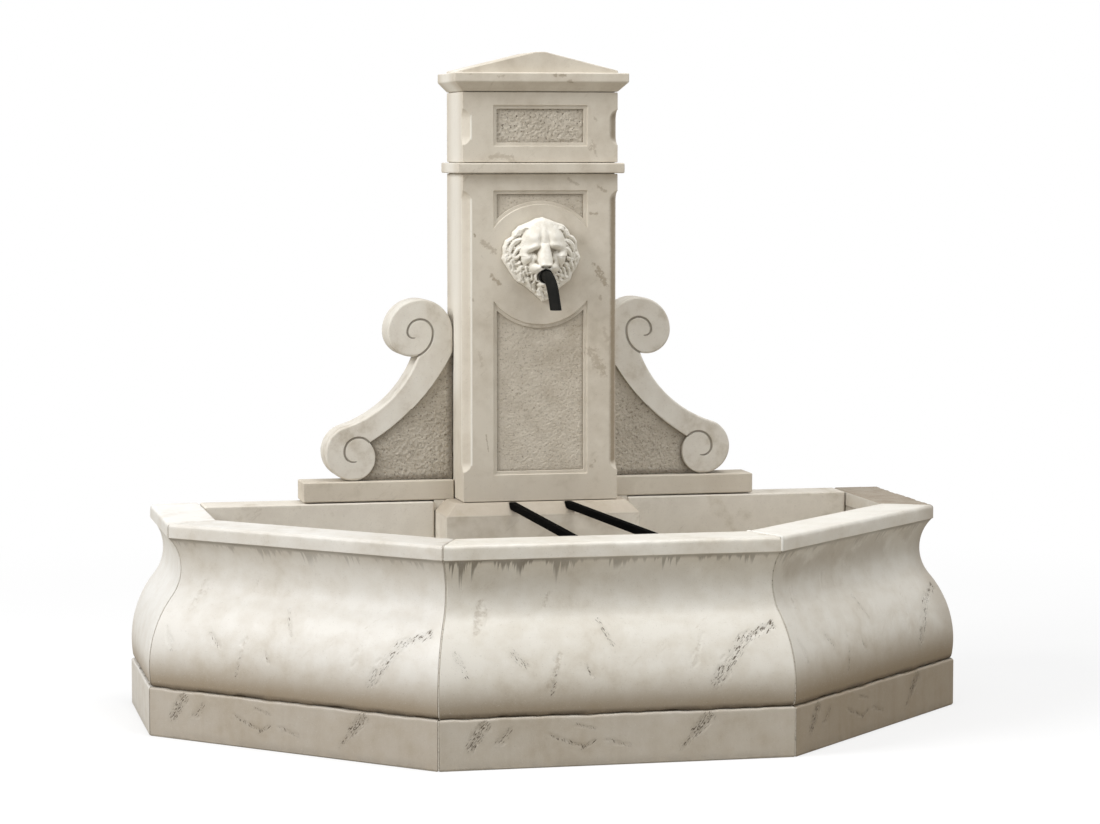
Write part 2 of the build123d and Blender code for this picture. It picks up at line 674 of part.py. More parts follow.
# Scroll brackets, drawn for the right-hand side
def bracket_points():
    upper = (VOLUTE_SIDE + UPPER_SCROLL, VOLUTE_BOTTOM + UPPER_RISE)
    curl = (upper[0] + UPPER_SCROLL - CURL_RADIUS, upper[1])
    lower = (VOLUTE_SIDE + LOWER_REACH, VOLUTE_BOTTOM + LOWER_SCROLL)
    return upper, curl, lower


def bracket_outline():
    """Front outline: pillar side, upper scroll, curl, stem, lower scroll and foot."""
    upper, curl, lower = bracket_points()
    crown = (upper[0], upper[1] + UPPER_SCROLL)
    right = (upper[0] + UPPER_SCROLL, upper[1])
    left = (VOLUTE_SIDE, upper[1])
    nip = on_circle(curl, CURL_RADIUS, -CURL_TURN)
    curl_low = on_circle(curl, CURL_RADIUS, -CURL_TURN / 2)
    join = on_circle(lower, LOWER_SCROLL, STEM_JOIN)
    toe = (lower[0], VOLUTE_BOTTOM)
    toe_side = on_circle(lower, LOWER_SCROLL, (STEM_JOIN - 90) / 2)
    edges = [
        Line((VOLUTE_SIDE, VOLUTE_BOTTOM), left),
        ThreePointArc(left, crown, right),
        ThreePointArc(right, curl_low, nip),
        bowed_arc(nip, join, STEM_BOW),
        ThreePointArc(join, toe_side, toe),
        Line(toe, (VOLUTE_SIDE, VOLUTE_BOTTOM)),
    ]
    return make_face(edges)


def lower_curl_centre():
    """Centre of the lower scroll's inner turn, sunk a little so that it stands firmly on its foot."""
    lower = bracket_points()[2]
    return (lower[0], VOLUTE_BOTTOM + LOWER_CURL - LOWER_SEAT)


def bracket_field():
    """The sunk field between the stem, the lower scroll, the base and the pillar."""
    upper = bracket_points()[0]
    centre = lower_curl_centre()
    throat = on_circle(centre, LOWER_CURL, 180 - THROAT_TURN)
    head = (VOLUTE_SIDE - EDGE_OVERRUN, upper[1] - INNER_DROP)
    bottom = VOLUTE_BOTTOM - EDGE_OVERRUN
    dip = math.degrees(math.asin((centre[1] - bottom) / LOWER_CURL))
    heel = on_circle(centre, LOWER_CURL, 180 + dip)
    flank = on_circle(centre, LOWER_CURL, 180 + (dip - THROAT_TURN) / 2)
    corner = (VOLUTE_SIDE - EDGE_OVERRUN, bottom)
    edges = [
        Line(corner, head),
        bowed_arc(head, throat, INNER_BOW),
        ThreePointArc(throat, flank, heel),
        Line(heel, corner),
    ]
    return make_face(edges)


def eye_arc(start, radius):
    """End of a curl's groove, turning down and in towards the eye of the scroll."""
    centre = (start[0] - radius, start[1])
    return ThreePointArc(
        start, on_circle(centre, radius, -EYE_TURN / 2), on_circle(centre, radius, -EYE_TURN)
    )


def bracket_grooves():
    """Grooves that draw the two curls into their scrolls, each opened out at its mouth."""
    upper, curl, lower = bracket_points()
    nip = on_circle(curl, CURL_RADIUS, -CURL_TURN)
    inner = UPPER_SCROLL - BAND_WIDTH
    left = (upper[0] - inner, upper[1])
    right = (upper[0] + inner, upper[1])
    upper_groove = [
        ThreePointArc(nip, ((nip[0] + 3 * left[0]) / 4, (nip[1] + left[1]) / 2), left),
        ThreePointArc(left, (upper[0], upper[1] + inner), right),
        eye_arc(right, EYE_RADIUS),
    ]
    throat = on_circle(lower_curl_centre(), LOWER_CURL, 180 - THROAT_TURN)
    turn = (lower[0] + LOWER_SCROLL - LOWER_BAND, lower[1])
    lower_groove = [
        bowed_arc(throat, turn, -LOWER_GROOVE_BOW),
        eye_arc(turn, LOWER_EYE),
    ]
    mouths = [Pos(*point) * Circle(GROOVE_MOUTH) for point in (nip, throat)]
    return mouths + [trace(line, GROOVE_WIDTH) for line in upper_groove + lower_groove]


def bracket(side):
    """Scroll bracket with a raised band and a sunk rough field."""
    front_y = BACK_Y - VOLUTE_DEPTH
    plane = front_plane(front_y)
    body = extrude(plane * bracket_outline(), amount=-VOLUTE_DEPTH)
    body -= extrude(plane * bracket_field(), amount=-VOLUTE_SINK)
    for groove in bracket_grooves():
        body -= extrude(plane * groove, amount=-GROOVE_DEPTH)
    for dowel in volute_dowels(1, DOWEL_GAP):
        body -= dowel
    return body if side > 0 else mirror(body, about=Plane.YZ)


def bracket_base(side):
    """Long low base of a scroll bracket, on the back panel."""
    span = sorted((side * VOLUTE_SIDE, side * (SHAFT_HALF + BASE_LENGTH)))
    body = block(span, (BACK_Y - BASE_DEPTH, BACK_Y), (BASE_BOTTOM, BASE_TOP))
    body = fillet(body.edges().filter_by(lambda edge: edge.center().Y < BACK_Y - 1), BASE_EDGE)
    for dowel in volute_dowels(side, DOWEL_GAP):
        body -= dowel
    return body


def bracket_beds():
    """Mortar beds under the brackets and their bases."""
    beds = []
    for side in (-1, 1):
        base_span = (PEDESTAL_HALF + BACK_JOINT, SHAFT_HALF + BASE_LENGTH - BED_SETBACK)
        foot_span = (VOLUTE_SIDE + BED_SETBACK, VOLUTE_SIDE + LOWER_REACH)
        depth = (BACK_Y - VOLUTE_DEPTH + VOLUTE_SINK + BED_SETBACK, BACK_Y - BED_SETBACK)
        layers = [(base_span, (RIM_TOP, BASE_BOTTOM)), (foot_span, (BASE_TOP, VOLUTE_BOTTOM))]
        for span, height in layers:
            bed = block(sorted(side * x for x in span), depth, height)
            for dowel in volute_dowels(side, DOWEL_GAP):
                bed -= dowel
            beds.append(bed)
    return group(beds)


# Lion mask
def ball(radius, x, reach, z):
    """Sphere whose centre stands a reach in front of the pillar's face."""
    return Pos(x, SHAFT_FRONT - reach, z) * Sphere(radius)


def mask_studs(grow):
    """Two threaded studs that hold the mask to the shaft."""
    span = (SHAFT_FRONT - STUD_LENGTH / 2 - grow, SHAFT_FRONT + STUD_LENGTH / 2 + grow)
    z = MASK_Z + STUD_RISE
    return [rod_y(STUD_RADIUS + grow, side * STUD_SPACING / 2, span, z) for side in (-1, 1)]


def lion_mask():
    """Lion mask: a ring of mane locks round a domed face with brow, muzzle, nose and chin."""
    half_w = MASK_WIDTH / 2 - MANE_RADIUS
    half_h = MASK_HEIGHT / 2 - MANE_RADIUS
    plate = Pos(0, MASK_Z) * Ellipse(half_w, half_h)
    body = extrude(front_plane(SHAFT_FRONT) * plate, amount=MANE_RADIUS)
    lumps = [ball(MANE_RADIUS, 0, MANE_REACH, MASK_Z - half_h)]
    for lock in range(MANE_LOCKS):
        x, z = on_circle((0, 0), 1, 90 + 360 / MANE_LOCKS * (lock + 1 / 2))
        lumps.append(ball(MANE_RADIUS, x * half_w, MANE_REACH, MASK_Z + z * half_h))
    lumps.append(ball(FACE_RADIUS, 0, FACE_REACH - FACE_RADIUS, MASK_Z))
    for side in (-1, 1):
        lumps.append(ball(BROW_RADIUS, side * BROW_SPREAD, BROW_REACH - BROW_RADIUS, MASK_Z + BROW_RISE))
        muzzle_z = SPOUT_Z + MUZZLE_RISE
        lumps.append(ball(MUZZLE_RADIUS, side * MUZZLE_SPREAD, MUZZLE_REACH - MUZZLE_RADIUS, muzzle_z))
    bridge_low = Vector(0, SHAFT_FRONT - MUZZLE_REACH + NOSE_RADIUS / 2, SPOUT_Z + NOSE_RISE)
    bridge_high = Vector(0, SHAFT_FRONT - BROW_REACH + BROW_RADIUS / 2, MASK_Z + BROW_RISE)
    bridge_way = bridge_high - bridge_low
    bridge_end = Plane(bridge_low, z_dir=bridge_way) * Circle(NOSE_RADIUS)
    lumps.append(extrude(bridge_end, amount=bridge_way.length))
    lumps.append(ball(NOSE_RADIUS, 0, MUZZLE_REACH - NOSE_RADIUS / 2, SPOUT_Z + NOSE_RISE))
    lumps.append(ball(CHIN_RADIUS, 0, CHIN_REACH - CHIN_RADIUS, SPOUT_Z - CHIN_RADIUS))
    body = split(body + lumps, bisect_by=front_plane(SHAFT_FRONT), keep=Keep.TOP)
    mouth = (SHAFT_FRONT - 2 * MUZZLE_REACH, SHAFT_FRONT + 1)
    body -= rod_y(COLLAR_RADIUS + MOUTH_GAP, 0, mouth, SPOUT_Z)
    for stud in mask_studs(DOWEL_GAP):
        body -= stud
    return body


# Spout and riser
def bent_rod(radius):
    """Solid rod along the spout's axis: level out of the mouth, then bent down."""
    turn = math.radians(SPOUT_TURN)
    start = (0, RISER_Y - PIPE_RADIUS, SPOUT_Z)
    bend_y = SHAFT_FRONT - SPOUT_STRAIGHT
    middle_y = bend_y - SPOUT_BEND * math.sin(turn / 2)
    middle_z = SPOUT_Z - SPOUT_BEND * (1 - math.cos(turn / 2))
    end_y = bend_y - SPOUT_BEND * math.sin(turn)
    end_z = SPOUT_Z - SPOUT_BEND * (1 - math.cos(turn))
    run_out = SPOUT_TAIL + 2 * PIPE_RADIUS
    tip = (0, end_y - run_out * math.cos(turn), end_z - run_out * math.sin(turn))
    path = Wire([
        Line(start, (0, bend_y, SPOUT_Z)),
        ThreePointArc((0, bend_y, SPOUT_Z), (0, middle_y, middle_z), (0, end_y, end_z)),
        Line((0, end_y, end_z), tip),
    ])
    return sweep(Plane(start, x_dir=(1, 0, 0), z_dir=(0, -1, 0)) * Circle(radius), path=path), end_z


def spout_pipe():
    """Bent pipe with a level cut at its tip."""
    outer, end_z = bent_rod(PIPE_RADIUS)
    inner, end_z = bent_rod(PIPE_BORE)
    tip_z = end_z - SPOUT_TAIL * math.sin(math.radians(SPOUT_TURN))
    reach = SPOUT_BEND + SPOUT_TAIL + SPOUT_STRAIGHT
    span = (tip_z - reach, tip_z)
    below = block((-reach, reach), (SHAFT_FRONT - 3 * reach, SHAFT_FRONT), span)
    return outer - inner - below


def sleeve_y(inner, outer, y_span):
    """Ring round the level part of the spout."""
    return rod_y(outer, 0, y_span, SPOUT_Z) - rod_y(inner, 0, (y_span[0] - 1, y_span[1] + 1), SPOUT_Z)


def spout_elbow():
    """Right-angle fitting that joins the riser to the spout."""
    corner = Pos(0, RISER_Y, SPOUT_Z)
    arm_y = (RISER_Y - ELBOW_ARM, RISER_Y)
    arm_z = (SPOUT_Z - ELBOW_ARM, SPOUT_Z)
    body = corner * Sphere(FITTING_RADIUS)
    body += rod_y(FITTING_RADIUS, 0, arm_y, SPOUT_Z)
    body += rod_z(FITTING_RADIUS, 0, RISER_Y, arm_z)
    body -= corner * Sphere(PIPE_BORE)
    body -= rod_y(PIPE_BORE, 0, arm_y, SPOUT_Z)
    body -= rod_z(PIPE_BORE, 0, RISER_Y, arm_z)
    socket = PIPE_RADIUS + SOCKET_GAP
    body -= rod_y(socket, 0, (arm_y[0] - 1, arm_y[0] + SOCKET_DEPTH), SPOUT_Z)
    body -= rod_z(socket, 0, RISER_Y, (arm_z[0] - 1, arm_z[0] + SOCKET_DEPTH))
    return body


def riser_pipe(low, high):
    """Straight length of riser between two fittings."""
    bore = rod_z(PIPE_BORE, 0, RISER_Y, (low - 1, high + 1))
    return rod_z(PIPE_RADIUS, 0, RISER_Y, (low, high)) - bore


def clip_screws(grow):
    """Screws of the riser's clips, into the front wall of the chase."""
    depth = CHASE_FRONT - CLIP_SCREW_BITE
    face = CHASE_FRONT + CLIP_WALL
    screws = []
    for height in CLIP_HEIGHTS:
        for side in (-1, 1):
            x = side * (FITTING_RADIUS + CLIP_SCREW_HEAD)
            z = SHAFT_BOTTOM + height
            screw = rod_y(CLIP_SCREW + grow, x, (depth - grow, face), z)
            screw += rod_y(CLIP_SCREW_HEAD, x, (face, face + CLIP_WALL), z)
            screws.append(screw)
    return screws


def riser_clips():
    """Saddle clips: a ring round the riser on a post with a screwed foot."""
    clips = []
    foot_half = FITTING_RADIUS + 2 * CLIP_SCREW_HEAD
    for height in CLIP_HEIGHTS:
        z = SHAFT_BOTTOM + height
        span = (z - CLIP_WIDTH / 2, z + CLIP_WIDTH / 2)
        clip = rod_z(PIPE_RADIUS + CLIP_WALL, 0, RISER_Y, span)
        clip += block((-CLIP_WIDTH / 2, CLIP_WIDTH / 2), (CHASE_FRONT, RISER_Y), span)
        clip += block((-foot_half, foot_half), (CHASE_FRONT, CHASE_FRONT + CLIP_WALL), span)
        clip -= rod_z(PIPE_RADIUS + SOCKET_GAP, 0, RISER_Y, (span[0] - 1, span[1] + 1))
        for screw in clip_screws(SOCKET_GAP):
            clip -= screw
        clips.append(clip)
    return group(clips)


# Ball valve on the riser, inside the pedestal
def valve_body():
    """Valve body with a socket at each end and a bonnet for the stem."""
    ends = (VALVE_Z - VALVE_HALF, VALVE_Z + VALVE_HALF)
    shell = BALL_RADIUS + BALL_GAP + FITTING_WALL / 2
    body = rod_z(FITTING_RADIUS, 0, RISER_Y, ends)
    body += rod_z(shell, 0, RISER_Y, (VALVE_Z - shell, VALVE_Z + shell))
    body += rod_x(BONNET_RADIUS, (0, BONNET_REACH), RISER_Y, VALVE_Z)
    body -= Pos(0, RISER_Y, VALVE_Z) * Sphere(BALL_RADIUS + BALL_GAP)
    body -= rod_z(PIPE_BORE, 0, RISER_Y, ends)
    socket = PIPE_RADIUS + SOCKET_GAP
    body -= rod_z(socket, 0, RISER_Y, (ends[0] - 1, ends[0] + SOCKET_DEPTH))
    body -= rod_z(socket, 0, RISER_Y, (ends[1] - SOCKET_DEPTH, ends[1] + 1))
    body -= rod_x(STEM_RADIUS + STEM_GAP, (0, BONNET_REACH + 1), RISER_Y, VALVE_Z)
    return body


def valve_ball():
    """Ball with its port along the riser and a flat for the stem."""
    flat = BALL_RADIUS - STEM_RADIUS / 2
    body = Pos(0, RISER_Y, VALVE_Z) * Sphere(BALL_RADIUS)
    body -= rod_z(PIPE_BORE, 0, RISER_Y, (VALVE_Z - 2 * BALL_RADIUS, VALVE_Z + 2 * BALL_RADIUS))
    side = 2 * BALL_RADIUS
    body -= block((flat, side), (RISER_Y - side, RISER_Y + side), (VALVE_Z - side, VALVE_Z + side))
    return body


def valve_stem():
    """Stem from the ball's flat out through the bonnet, lever and nut."""
    end = BONNET_REACH + LEVER_GAP + LEVER_THICK + LEVER_NUT
    return rod_x(STEM_RADIUS, (BALL_RADIUS - STEM_RADIUS / 2, end), RISER_Y, VALVE_Z)


def valve_lever():
    """Flat lever, upright when the valve is open."""
    span = (BONNET_REACH + LEVER_GAP, BONNET_REACH + LEVER_GAP + LEVER_THICK)
    half = LEVER_WIDTH / 2
    body = rod_x(BONNET_RADIUS, span, RISER_Y, VALVE_Z)
    body += block(span, (RISER_Y - half, RISER_Y + half), (VALVE_Z, VALVE_Z + LEVER_LENGTH - half))
    body += rod_x(half, span, RISER_Y, VALVE_Z + LEVER_LENGTH - half)
    body -= rod_x(STEM_RADIUS + STEM_GAP, (span[0] - 1, span[1] + 1), RISER_Y, VALVE_Z)
    return body


def valve_nut():
    """Nut that holds the lever on the stem."""
    start = BONNET_REACH + LEVER_GAP + LEVER_THICK
    bore = rod_x(STEM_RADIUS + STEM_GAP, (start - 1, start + LEVER_NUT + 1), RISER_Y, VALVE_Z)
    return hex_x(LEVER_NUT_FLATS, (start, start + LEVER_NUT), RISER_Y, VALVE_Z) - bore


# Submersible pump in the pedestal, lying along X with its outlet under the riser
def pump_outline(x_span):
    """Block with the pump's end outline."""
    half = PUMP_WIDTH / 2
    return block(x_span, (RISER_Y - half, RISER_Y + half), (PUMP_BOTTOM, PUMP_BOTTOM + PUMP_HEIGHT))


def pump_screws(grow):
    """Screws through the intake cover into the motor housing, beside the chamber."""
    y_off = PUMP_WIDTH / 2 - PUMP_SCREW_INSET
    z_off = PUMP_HEIGHT / 2 - PUMP_SCREW_INSET
    face = CHAMBER_HALF + COVER_THICK
    screws = []
    for y in (RISER_Y - y_off, RISER_Y + y_off):
        for z in (PUMP_Z - z_off, PUMP_Z + z_off):
            screw = rod_x(PUMP_SCREW + grow, (-CHAMBER_HALF - PUMP_SCREW_BITE - grow, face), y, z)
            screw += rod_x(PUMP_SCREW_HEAD, (face, face + PUMP_SCREW), y, z)
            screws.append(screw)
    return screws


def pump_motor():
    """Potted motor housing with the rotor's well."""
    rear = -CHAMBER_HALF - MOTOR_LENGTH
    body = pump_outline((rear, -CHAMBER_HALF))
    body = fillet(body.edges().filter_by(Axis.X) + body.edges().group_by(Axis.X)[0], MOTOR_EDGE)
    well = ROTOR_LENGTH + ROTOR_GAP
    body -= rod_x(ROTOR_RADIUS + ROTOR_GAP, (-CHAMBER_HALF - well, 0), RISER_Y, PUMP_Z)
    pin_end = -CHAMBER_HALF - well - SHAFT_PIN_SEAT
    body -= rod_x(SHAFT_PIN_RADIUS + SHAFT_PIN_GAP, (pin_end, 0), RISER_Y, PUMP_Z)
    for screw in pump_screws(SOCKET_GAP):
        body -= screw
    return body


def pump_chamber():
    """Impeller chamber with its outlet boss on top."""
    span = (-CHAMBER_HALF, CHAMBER_HALF)
    boss_top = OUTLET_Z + SOCKET_DEPTH
    body = rod_x(CHAMBER_RADIUS, span, RISER_Y, PUMP_Z)
    body += rod_z(CHAMBER_HALF, 0, RISER_Y, (PUMP_Z, OUTLET_Z))
    body += rod_z(FITTING_RADIUS, 0, RISER_Y, (PUMP_Z + PUMP_HEIGHT / 2 + SOCKET_GAP, boss_top))
    body -= rod_x(CHAMBER_RADIUS - CHAMBER_WALL, span, RISER_Y, PUMP_Z)
    body -= rod_z(PIPE_BORE, 0, RISER_Y, (PUMP_Z, boss_top))
    body -= rod_z(PIPE_RADIUS + SOCKET_GAP, 0, RISER_Y, (OUTLET_Z, boss_top + 1))
    return body


def pump_impeller():
    """Magnet rotor, back plate, hub and radial vanes, bored for the fixed shaft."""
    plate_x = -CHAMBER_HALF + ROTOR_GAP
    front_x = CHAMBER_HALF - ROTOR_GAP
    body = rod_x(ROTOR_RADIUS, (-CHAMBER_HALF - ROTOR_LENGTH, plate_x), RISER_Y, PUMP_Z)
    body += rod_x(IMPELLER_RADIUS, (plate_x, plate_x + IMPELLER_PLATE), RISER_Y, PUMP_Z)
    body += rod_x(IMPELLER_HUB, (plate_x, front_x), RISER_Y, PUMP_Z)
    half = VANE_THICK / 2
    reach = (IMPELLER_HUB / 2, IMPELLER_RADIUS - half)
    vane = block((plate_x, front_x - ROTOR_GAP), (-half, half), reach)
    for index in range(IMPELLER_VANES):
        body += Pos(0, RISER_Y, PUMP_Z) * Rot(360 / IMPELLER_VANES * index, 0, 0) * vane
    bore = (-CHAMBER_HALF - ROTOR_LENGTH - 1, front_x + 1)
    body -= rod_x(SHAFT_PIN_RADIUS + SHAFT_PIN_GAP, bore, RISER_Y, PUMP_Z)
    return body


def pump_pin():
    """Fixed ceramic shaft that the impeller turns on."""
    rear = -CHAMBER_HALF - ROTOR_LENGTH - ROTOR_GAP - SHAFT_PIN_SEAT
    return rod_x(SHAFT_PIN_RADIUS, (rear, CHAMBER_HALF + SHAFT_PIN_SEAT), RISER_Y, PUMP_Z)


def pump_cover():
    """Intake cover with a ring of holes and a seat for the shaft."""
    span = (CHAMBER_HALF, CHAMBER_HALF + COVER_THICK)
    body = pump_outline(span)
    body = fillet(body.edges().filter_by(Axis.X), STRAINER_EDGE)
    for index in range(INTAKE_HOLES):
        y, z = on_circle((RISER_Y, PUMP_Z), INTAKE_CIRCLE, 360 / INTAKE_HOLES * index)
        body -= rod_x(INTAKE_HOLE, (span[0] - 1, span[1] + 1), y, z)
    seat = (span[0] - 1, span[0] + SHAFT_PIN_SEAT)
    body -= rod_x(SHAFT_PIN_RADIUS + SHAFT_PIN_GAP, seat, RISER_Y, PUMP_Z)
    for screw in pump_screws(SOCKET_GAP):
        body -= screw
    return body


def pump_strainer():
    """Slotted cage over the intake."""
    low_x = CHAMBER_HALF + COVER_THICK
    high_x = low_x + STRAINER_LENGTH
    body = pump_outline((low_x, high_x))
    body = fillet(body.edges().filter_by(Axis.X), STRAINER_EDGE)
    half = PUMP_WIDTH / 2 - STRAINER_WALL
    room_z = (PUMP_BOTTOM + STRAINER_WALL, PUMP_BOTTOM + PUMP_HEIGHT - STRAINER_WALL)
    body -= block((low_x - 1, high_x - STRAINER_WALL), (RISER_Y - half, RISER_Y + half), room_z)
    slot_z = (room_z[0] + STRAINER_EDGE, room_z[1] - STRAINER_EDGE)
    width = STRAINER_SLOT / 2
    front_slots = int(2 * (half - STRAINER_EDGE) // STRAINER_PITCH)
    for index in range(front_slots):
        y = RISER_Y + (index - (front_slots - 1) / 2) * STRAINER_PITCH
        body -= block((high_x - 2 * STRAINER_WALL, high_x + 1), (y - width, y + width), slot_z)
    side_slots = int((STRAINER_LENGTH - 2 * STRAINER_EDGE) // STRAINER_PITCH)
    through = (RISER_Y - PUMP_WIDTH, RISER_Y + PUMP_WIDTH)
    for index in range(side_slots):
        x = (low_x + high_x) / 2 + (index - (side_slots - 1) / 2) * STRAINER_PITCH
        body -= block((x - width, x + width), through, slot_z)
    return body


def pump_feet():
    """Rubber feet under the motor housing."""
    feet = []
    inset = MOTOR_EDGE + FOOT_RADIUS
    for x in (-CHAMBER_HALF - inset, -CHAMBER_HALF - MOTOR_LENGTH + inset):
        for y in (RISER_Y - PUMP_WIDTH / 2 + inset, RISER_Y + PUMP_WIDTH / 2 - inset):
            feet.append(rod_z(FOOT_RADIUS, x, y, (FLOOR_SLAB, PUMP_BOTTOM)))
    return group(feet)


def cable_gland():
    """Cable gland on the back of the motor housing."""
    rear = -CHAMBER_HALF - MOTOR_LENGTH
    body = hex_x(GLAND_FLATS, (rear - GLAND_NUT, rear), RISER_Y, PUMP_Z)
    body += rod_x(GLAND_RADIUS, (rear - GLAND_LENGTH, rear), RISER_Y, PUMP_Z)
    return body - rod_x(GLAND_BORE, (rear - GLAND_LENGTH - 1, rear - GLAND_NUT / 2), RISER_Y, PUMP_Z)


# Drain and overflow
def drain_parts():
    seal_top = FLOOR_SLAB + DRAIN_SEAL
    fitting = rod_z(FLANGE_RADIUS, DRAIN_X, DRAIN_Y, (seal_top, FLANGE_TOP))
    fitting += rod_z(TAIL_RADIUS, DRAIN_X, DRAIN_Y, (0, FLANGE_TOP))
    fitting -= rod_z(DRAIN_BORE, DRAIN_X, DRAIN_Y, (-1, FLANGE_TOP + 1))
    fitting -= rod_z(STANDPIPE_RADIUS + STANDPIPE_GAP, DRAIN_X, DRAIN_Y, (SEAT_Z, FLANGE_TOP + 1))
    seal = rod_z(FLANGE_RADIUS, DRAIN_X, DRAIN_Y, (FLOOR_SLAB, seal_top))
    seal -= rod_z(TAIL_RADIUS + SOCKET_GAP, DRAIN_X, DRAIN_Y, (FLOOR_SLAB - 1, seal_top + 1))
    nut_z = (DRAIN_NUT_ROOM, DRAIN_NUT_ROOM + DRAIN_NUT)
    nut = hex_z(DRAIN_NUT_FLATS, DRAIN_X, DRAIN_Y, nut_z)
    nut -= rod_z(TAIL_RADIUS + SOCKET_GAP, DRAIN_X, DRAIN_Y, (nut_z[0] - 1, nut_z[1] + 1))
    pipe_z = (SEAT_Z, OVERFLOW_LEVEL)
    pipe = rod_z(STANDPIPE_RADIUS, DRAIN_X, DRAIN_Y, pipe_z)
    pipe -= rod_z(STANDPIPE_RADIUS - STANDPIPE_WALL, DRAIN_X, DRAIN_Y, (pipe_z[0] - 1, pipe_z[1] + 1))
    return {"drain_fitting": fitting, "drain_seal": seal, "drain_nut": nut, "overflow_standpipe": pipe}


parts = basin_parts()
parts["pedestal"] = pedestal()
parts["shaft"] = shaft()
parts["band_course"] = band_course()
parts["frieze_block"] = frieze_block()
parts["cornice_cap"] = cornice_cap()
parts["bed_joints"] = bed_joints()
parts["column_dowels"] = group(column_dowels(0))
for name, side in (("left", -1), ("right", 1)):
    parts[name + "_bracket_base"] = bracket_base(side)
    parts[name + "_bracket"] = bracket(side)
parts["bracket_beds"] = bracket_beds()
parts["bracket_dowels"] = group(volute_dowels(-1, 0) + volute_dowels(1, 0))
parts["lion_mask"] = lion_mask()
parts["mask_studs"] = group(mask_studs(0))
collar_y = (SHAFT_FRONT - SPOUT_STRAIGHT, SHAFT_FRONT - SPOUT_STRAIGHT + COLLAR_LENGTH)
seal_y = (SHAFT_FRONT + SEAL_LENGTH, SHAFT_FRONT + 2 * SEAL_LENGTH)
parts["spout_pipe"] = spout_pipe()
parts["spout_collar"] = sleeve_y(PIPE_RADIUS + SOCKET_GAP, COLLAR_RADIUS, collar_y)
parts["spout_seal"] = sleeve_y(PIPE_RADIUS + SOCKET_GAP, SPOUT_BORE - SOCKET_GAP, seal_y)
parts["spout_elbow"] = spout_elbow()
parts["riser_lower_pipe"] = riser_pipe(OUTLET_Z, VALVE_Z - VALVE_PORT)
parts["riser_upper_pipe"] = riser_pipe(VALVE_Z + VALVE_PORT, SPOUT_Z - PIPE_RADIUS)
parts["riser_clips"] = riser_clips()
parts["riser_clip_screws"] = group(clip_screws(0))
parts["valve_body"] = valve_body()
parts["valve_ball"] = valve_ball()
parts["valve_stem"] = valve_stem()
parts["valve_lever"] = valve_lever()
parts["valve_lever_nut"] = valve_nut()
parts["pump_motor_housing"] = pump_motor()
parts["pump_chamber"] = pump_chamber()
parts["pump_impeller"] = pump_impeller()
parts["pump_shaft"] = pump_pin()
parts["pump_intake_cover"] = pump_cover()
parts["pump_strainer"] = pump_strainer()
parts["pump_screws"] = group(pump_screws(0))
parts["pump_feet"] = pump_feet()
parts["cable_gland"] = cable_gland()
parts.update(drain_parts())

os.makedirs("parts", exist_ok=True)
for name, solid in parts.items():
    export_step(solid, "parts/" + name + ".step")
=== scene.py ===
"""Looks of a garden fountain in cast stone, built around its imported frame."""

import json
import logging
import math
import random
from contextlib import contextmanager
from dataclasses import dataclass, field
from enum import Enum
from typing import Any, Callable, ClassVar, Iterator, Sequence, Union

import bmesh
import bpy
import numpy as np
from mathutils import Matrix, Vector
from mathutils.kdtree import KDTree


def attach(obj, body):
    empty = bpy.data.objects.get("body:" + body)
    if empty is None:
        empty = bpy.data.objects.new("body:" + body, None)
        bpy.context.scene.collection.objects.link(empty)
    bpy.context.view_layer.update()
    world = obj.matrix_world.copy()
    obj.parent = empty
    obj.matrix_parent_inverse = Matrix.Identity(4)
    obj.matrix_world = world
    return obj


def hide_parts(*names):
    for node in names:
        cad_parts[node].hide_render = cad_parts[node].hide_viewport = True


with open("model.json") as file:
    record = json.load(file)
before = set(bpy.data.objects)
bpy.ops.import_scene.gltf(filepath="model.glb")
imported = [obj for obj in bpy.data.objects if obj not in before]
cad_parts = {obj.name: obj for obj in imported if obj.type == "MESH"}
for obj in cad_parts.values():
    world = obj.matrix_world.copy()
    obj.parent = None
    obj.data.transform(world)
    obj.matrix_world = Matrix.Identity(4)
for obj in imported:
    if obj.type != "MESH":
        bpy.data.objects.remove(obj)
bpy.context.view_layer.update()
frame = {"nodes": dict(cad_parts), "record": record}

LOG = logging.getLogger("fountain")
BODY = "fountain"

Point2 = tuple[float, float]
Point3 = tuple[float, float, float]
Colour = tuple[float, float, float]
Number = Union[float, "Value"]


# Modelling tools


class Pick(Enum):
    """What kind of element is selected in edit mode."""

    VERT = "VERT"
    EDGE = "EDGE"
    FACE = "FACE"


class Cut(Enum):
    """How one shape is combined with another."""

    AWAY = "DIFFERENCE"
    WITHIN = "INTERSECT"
    TOGETHER = "UNION"


def deselect_all() -> None:
    """Goes back to object mode with nothing selected."""
    if bpy.context.object and bpy.context.object.mode != "OBJECT":
        bpy.ops.object.mode_set(mode="OBJECT")
    bpy.ops.object.select_all(action="DESELECT")


def make_active(obj: bpy.types.Object) -> None:
    """Selects one object alone."""
    deselect_all()
    obj.select_set(True)
    bpy.context.view_layer.objects.active = obj


@contextmanager
def editing(obj: bpy.types.Object) -> Iterator[None]:
    """Edit mode on one object, with everything in it selected.

    Args:
        obj: The object to edit.
    """
    make_active(obj)
    bpy.ops.object.mode_set(mode="EDIT")
    bpy.ops.mesh.select_mode(type="VERT")
    bpy.ops.mesh.select_all(action="SELECT")
    yield
    bpy.ops.object.mode_set(mode="OBJECT")


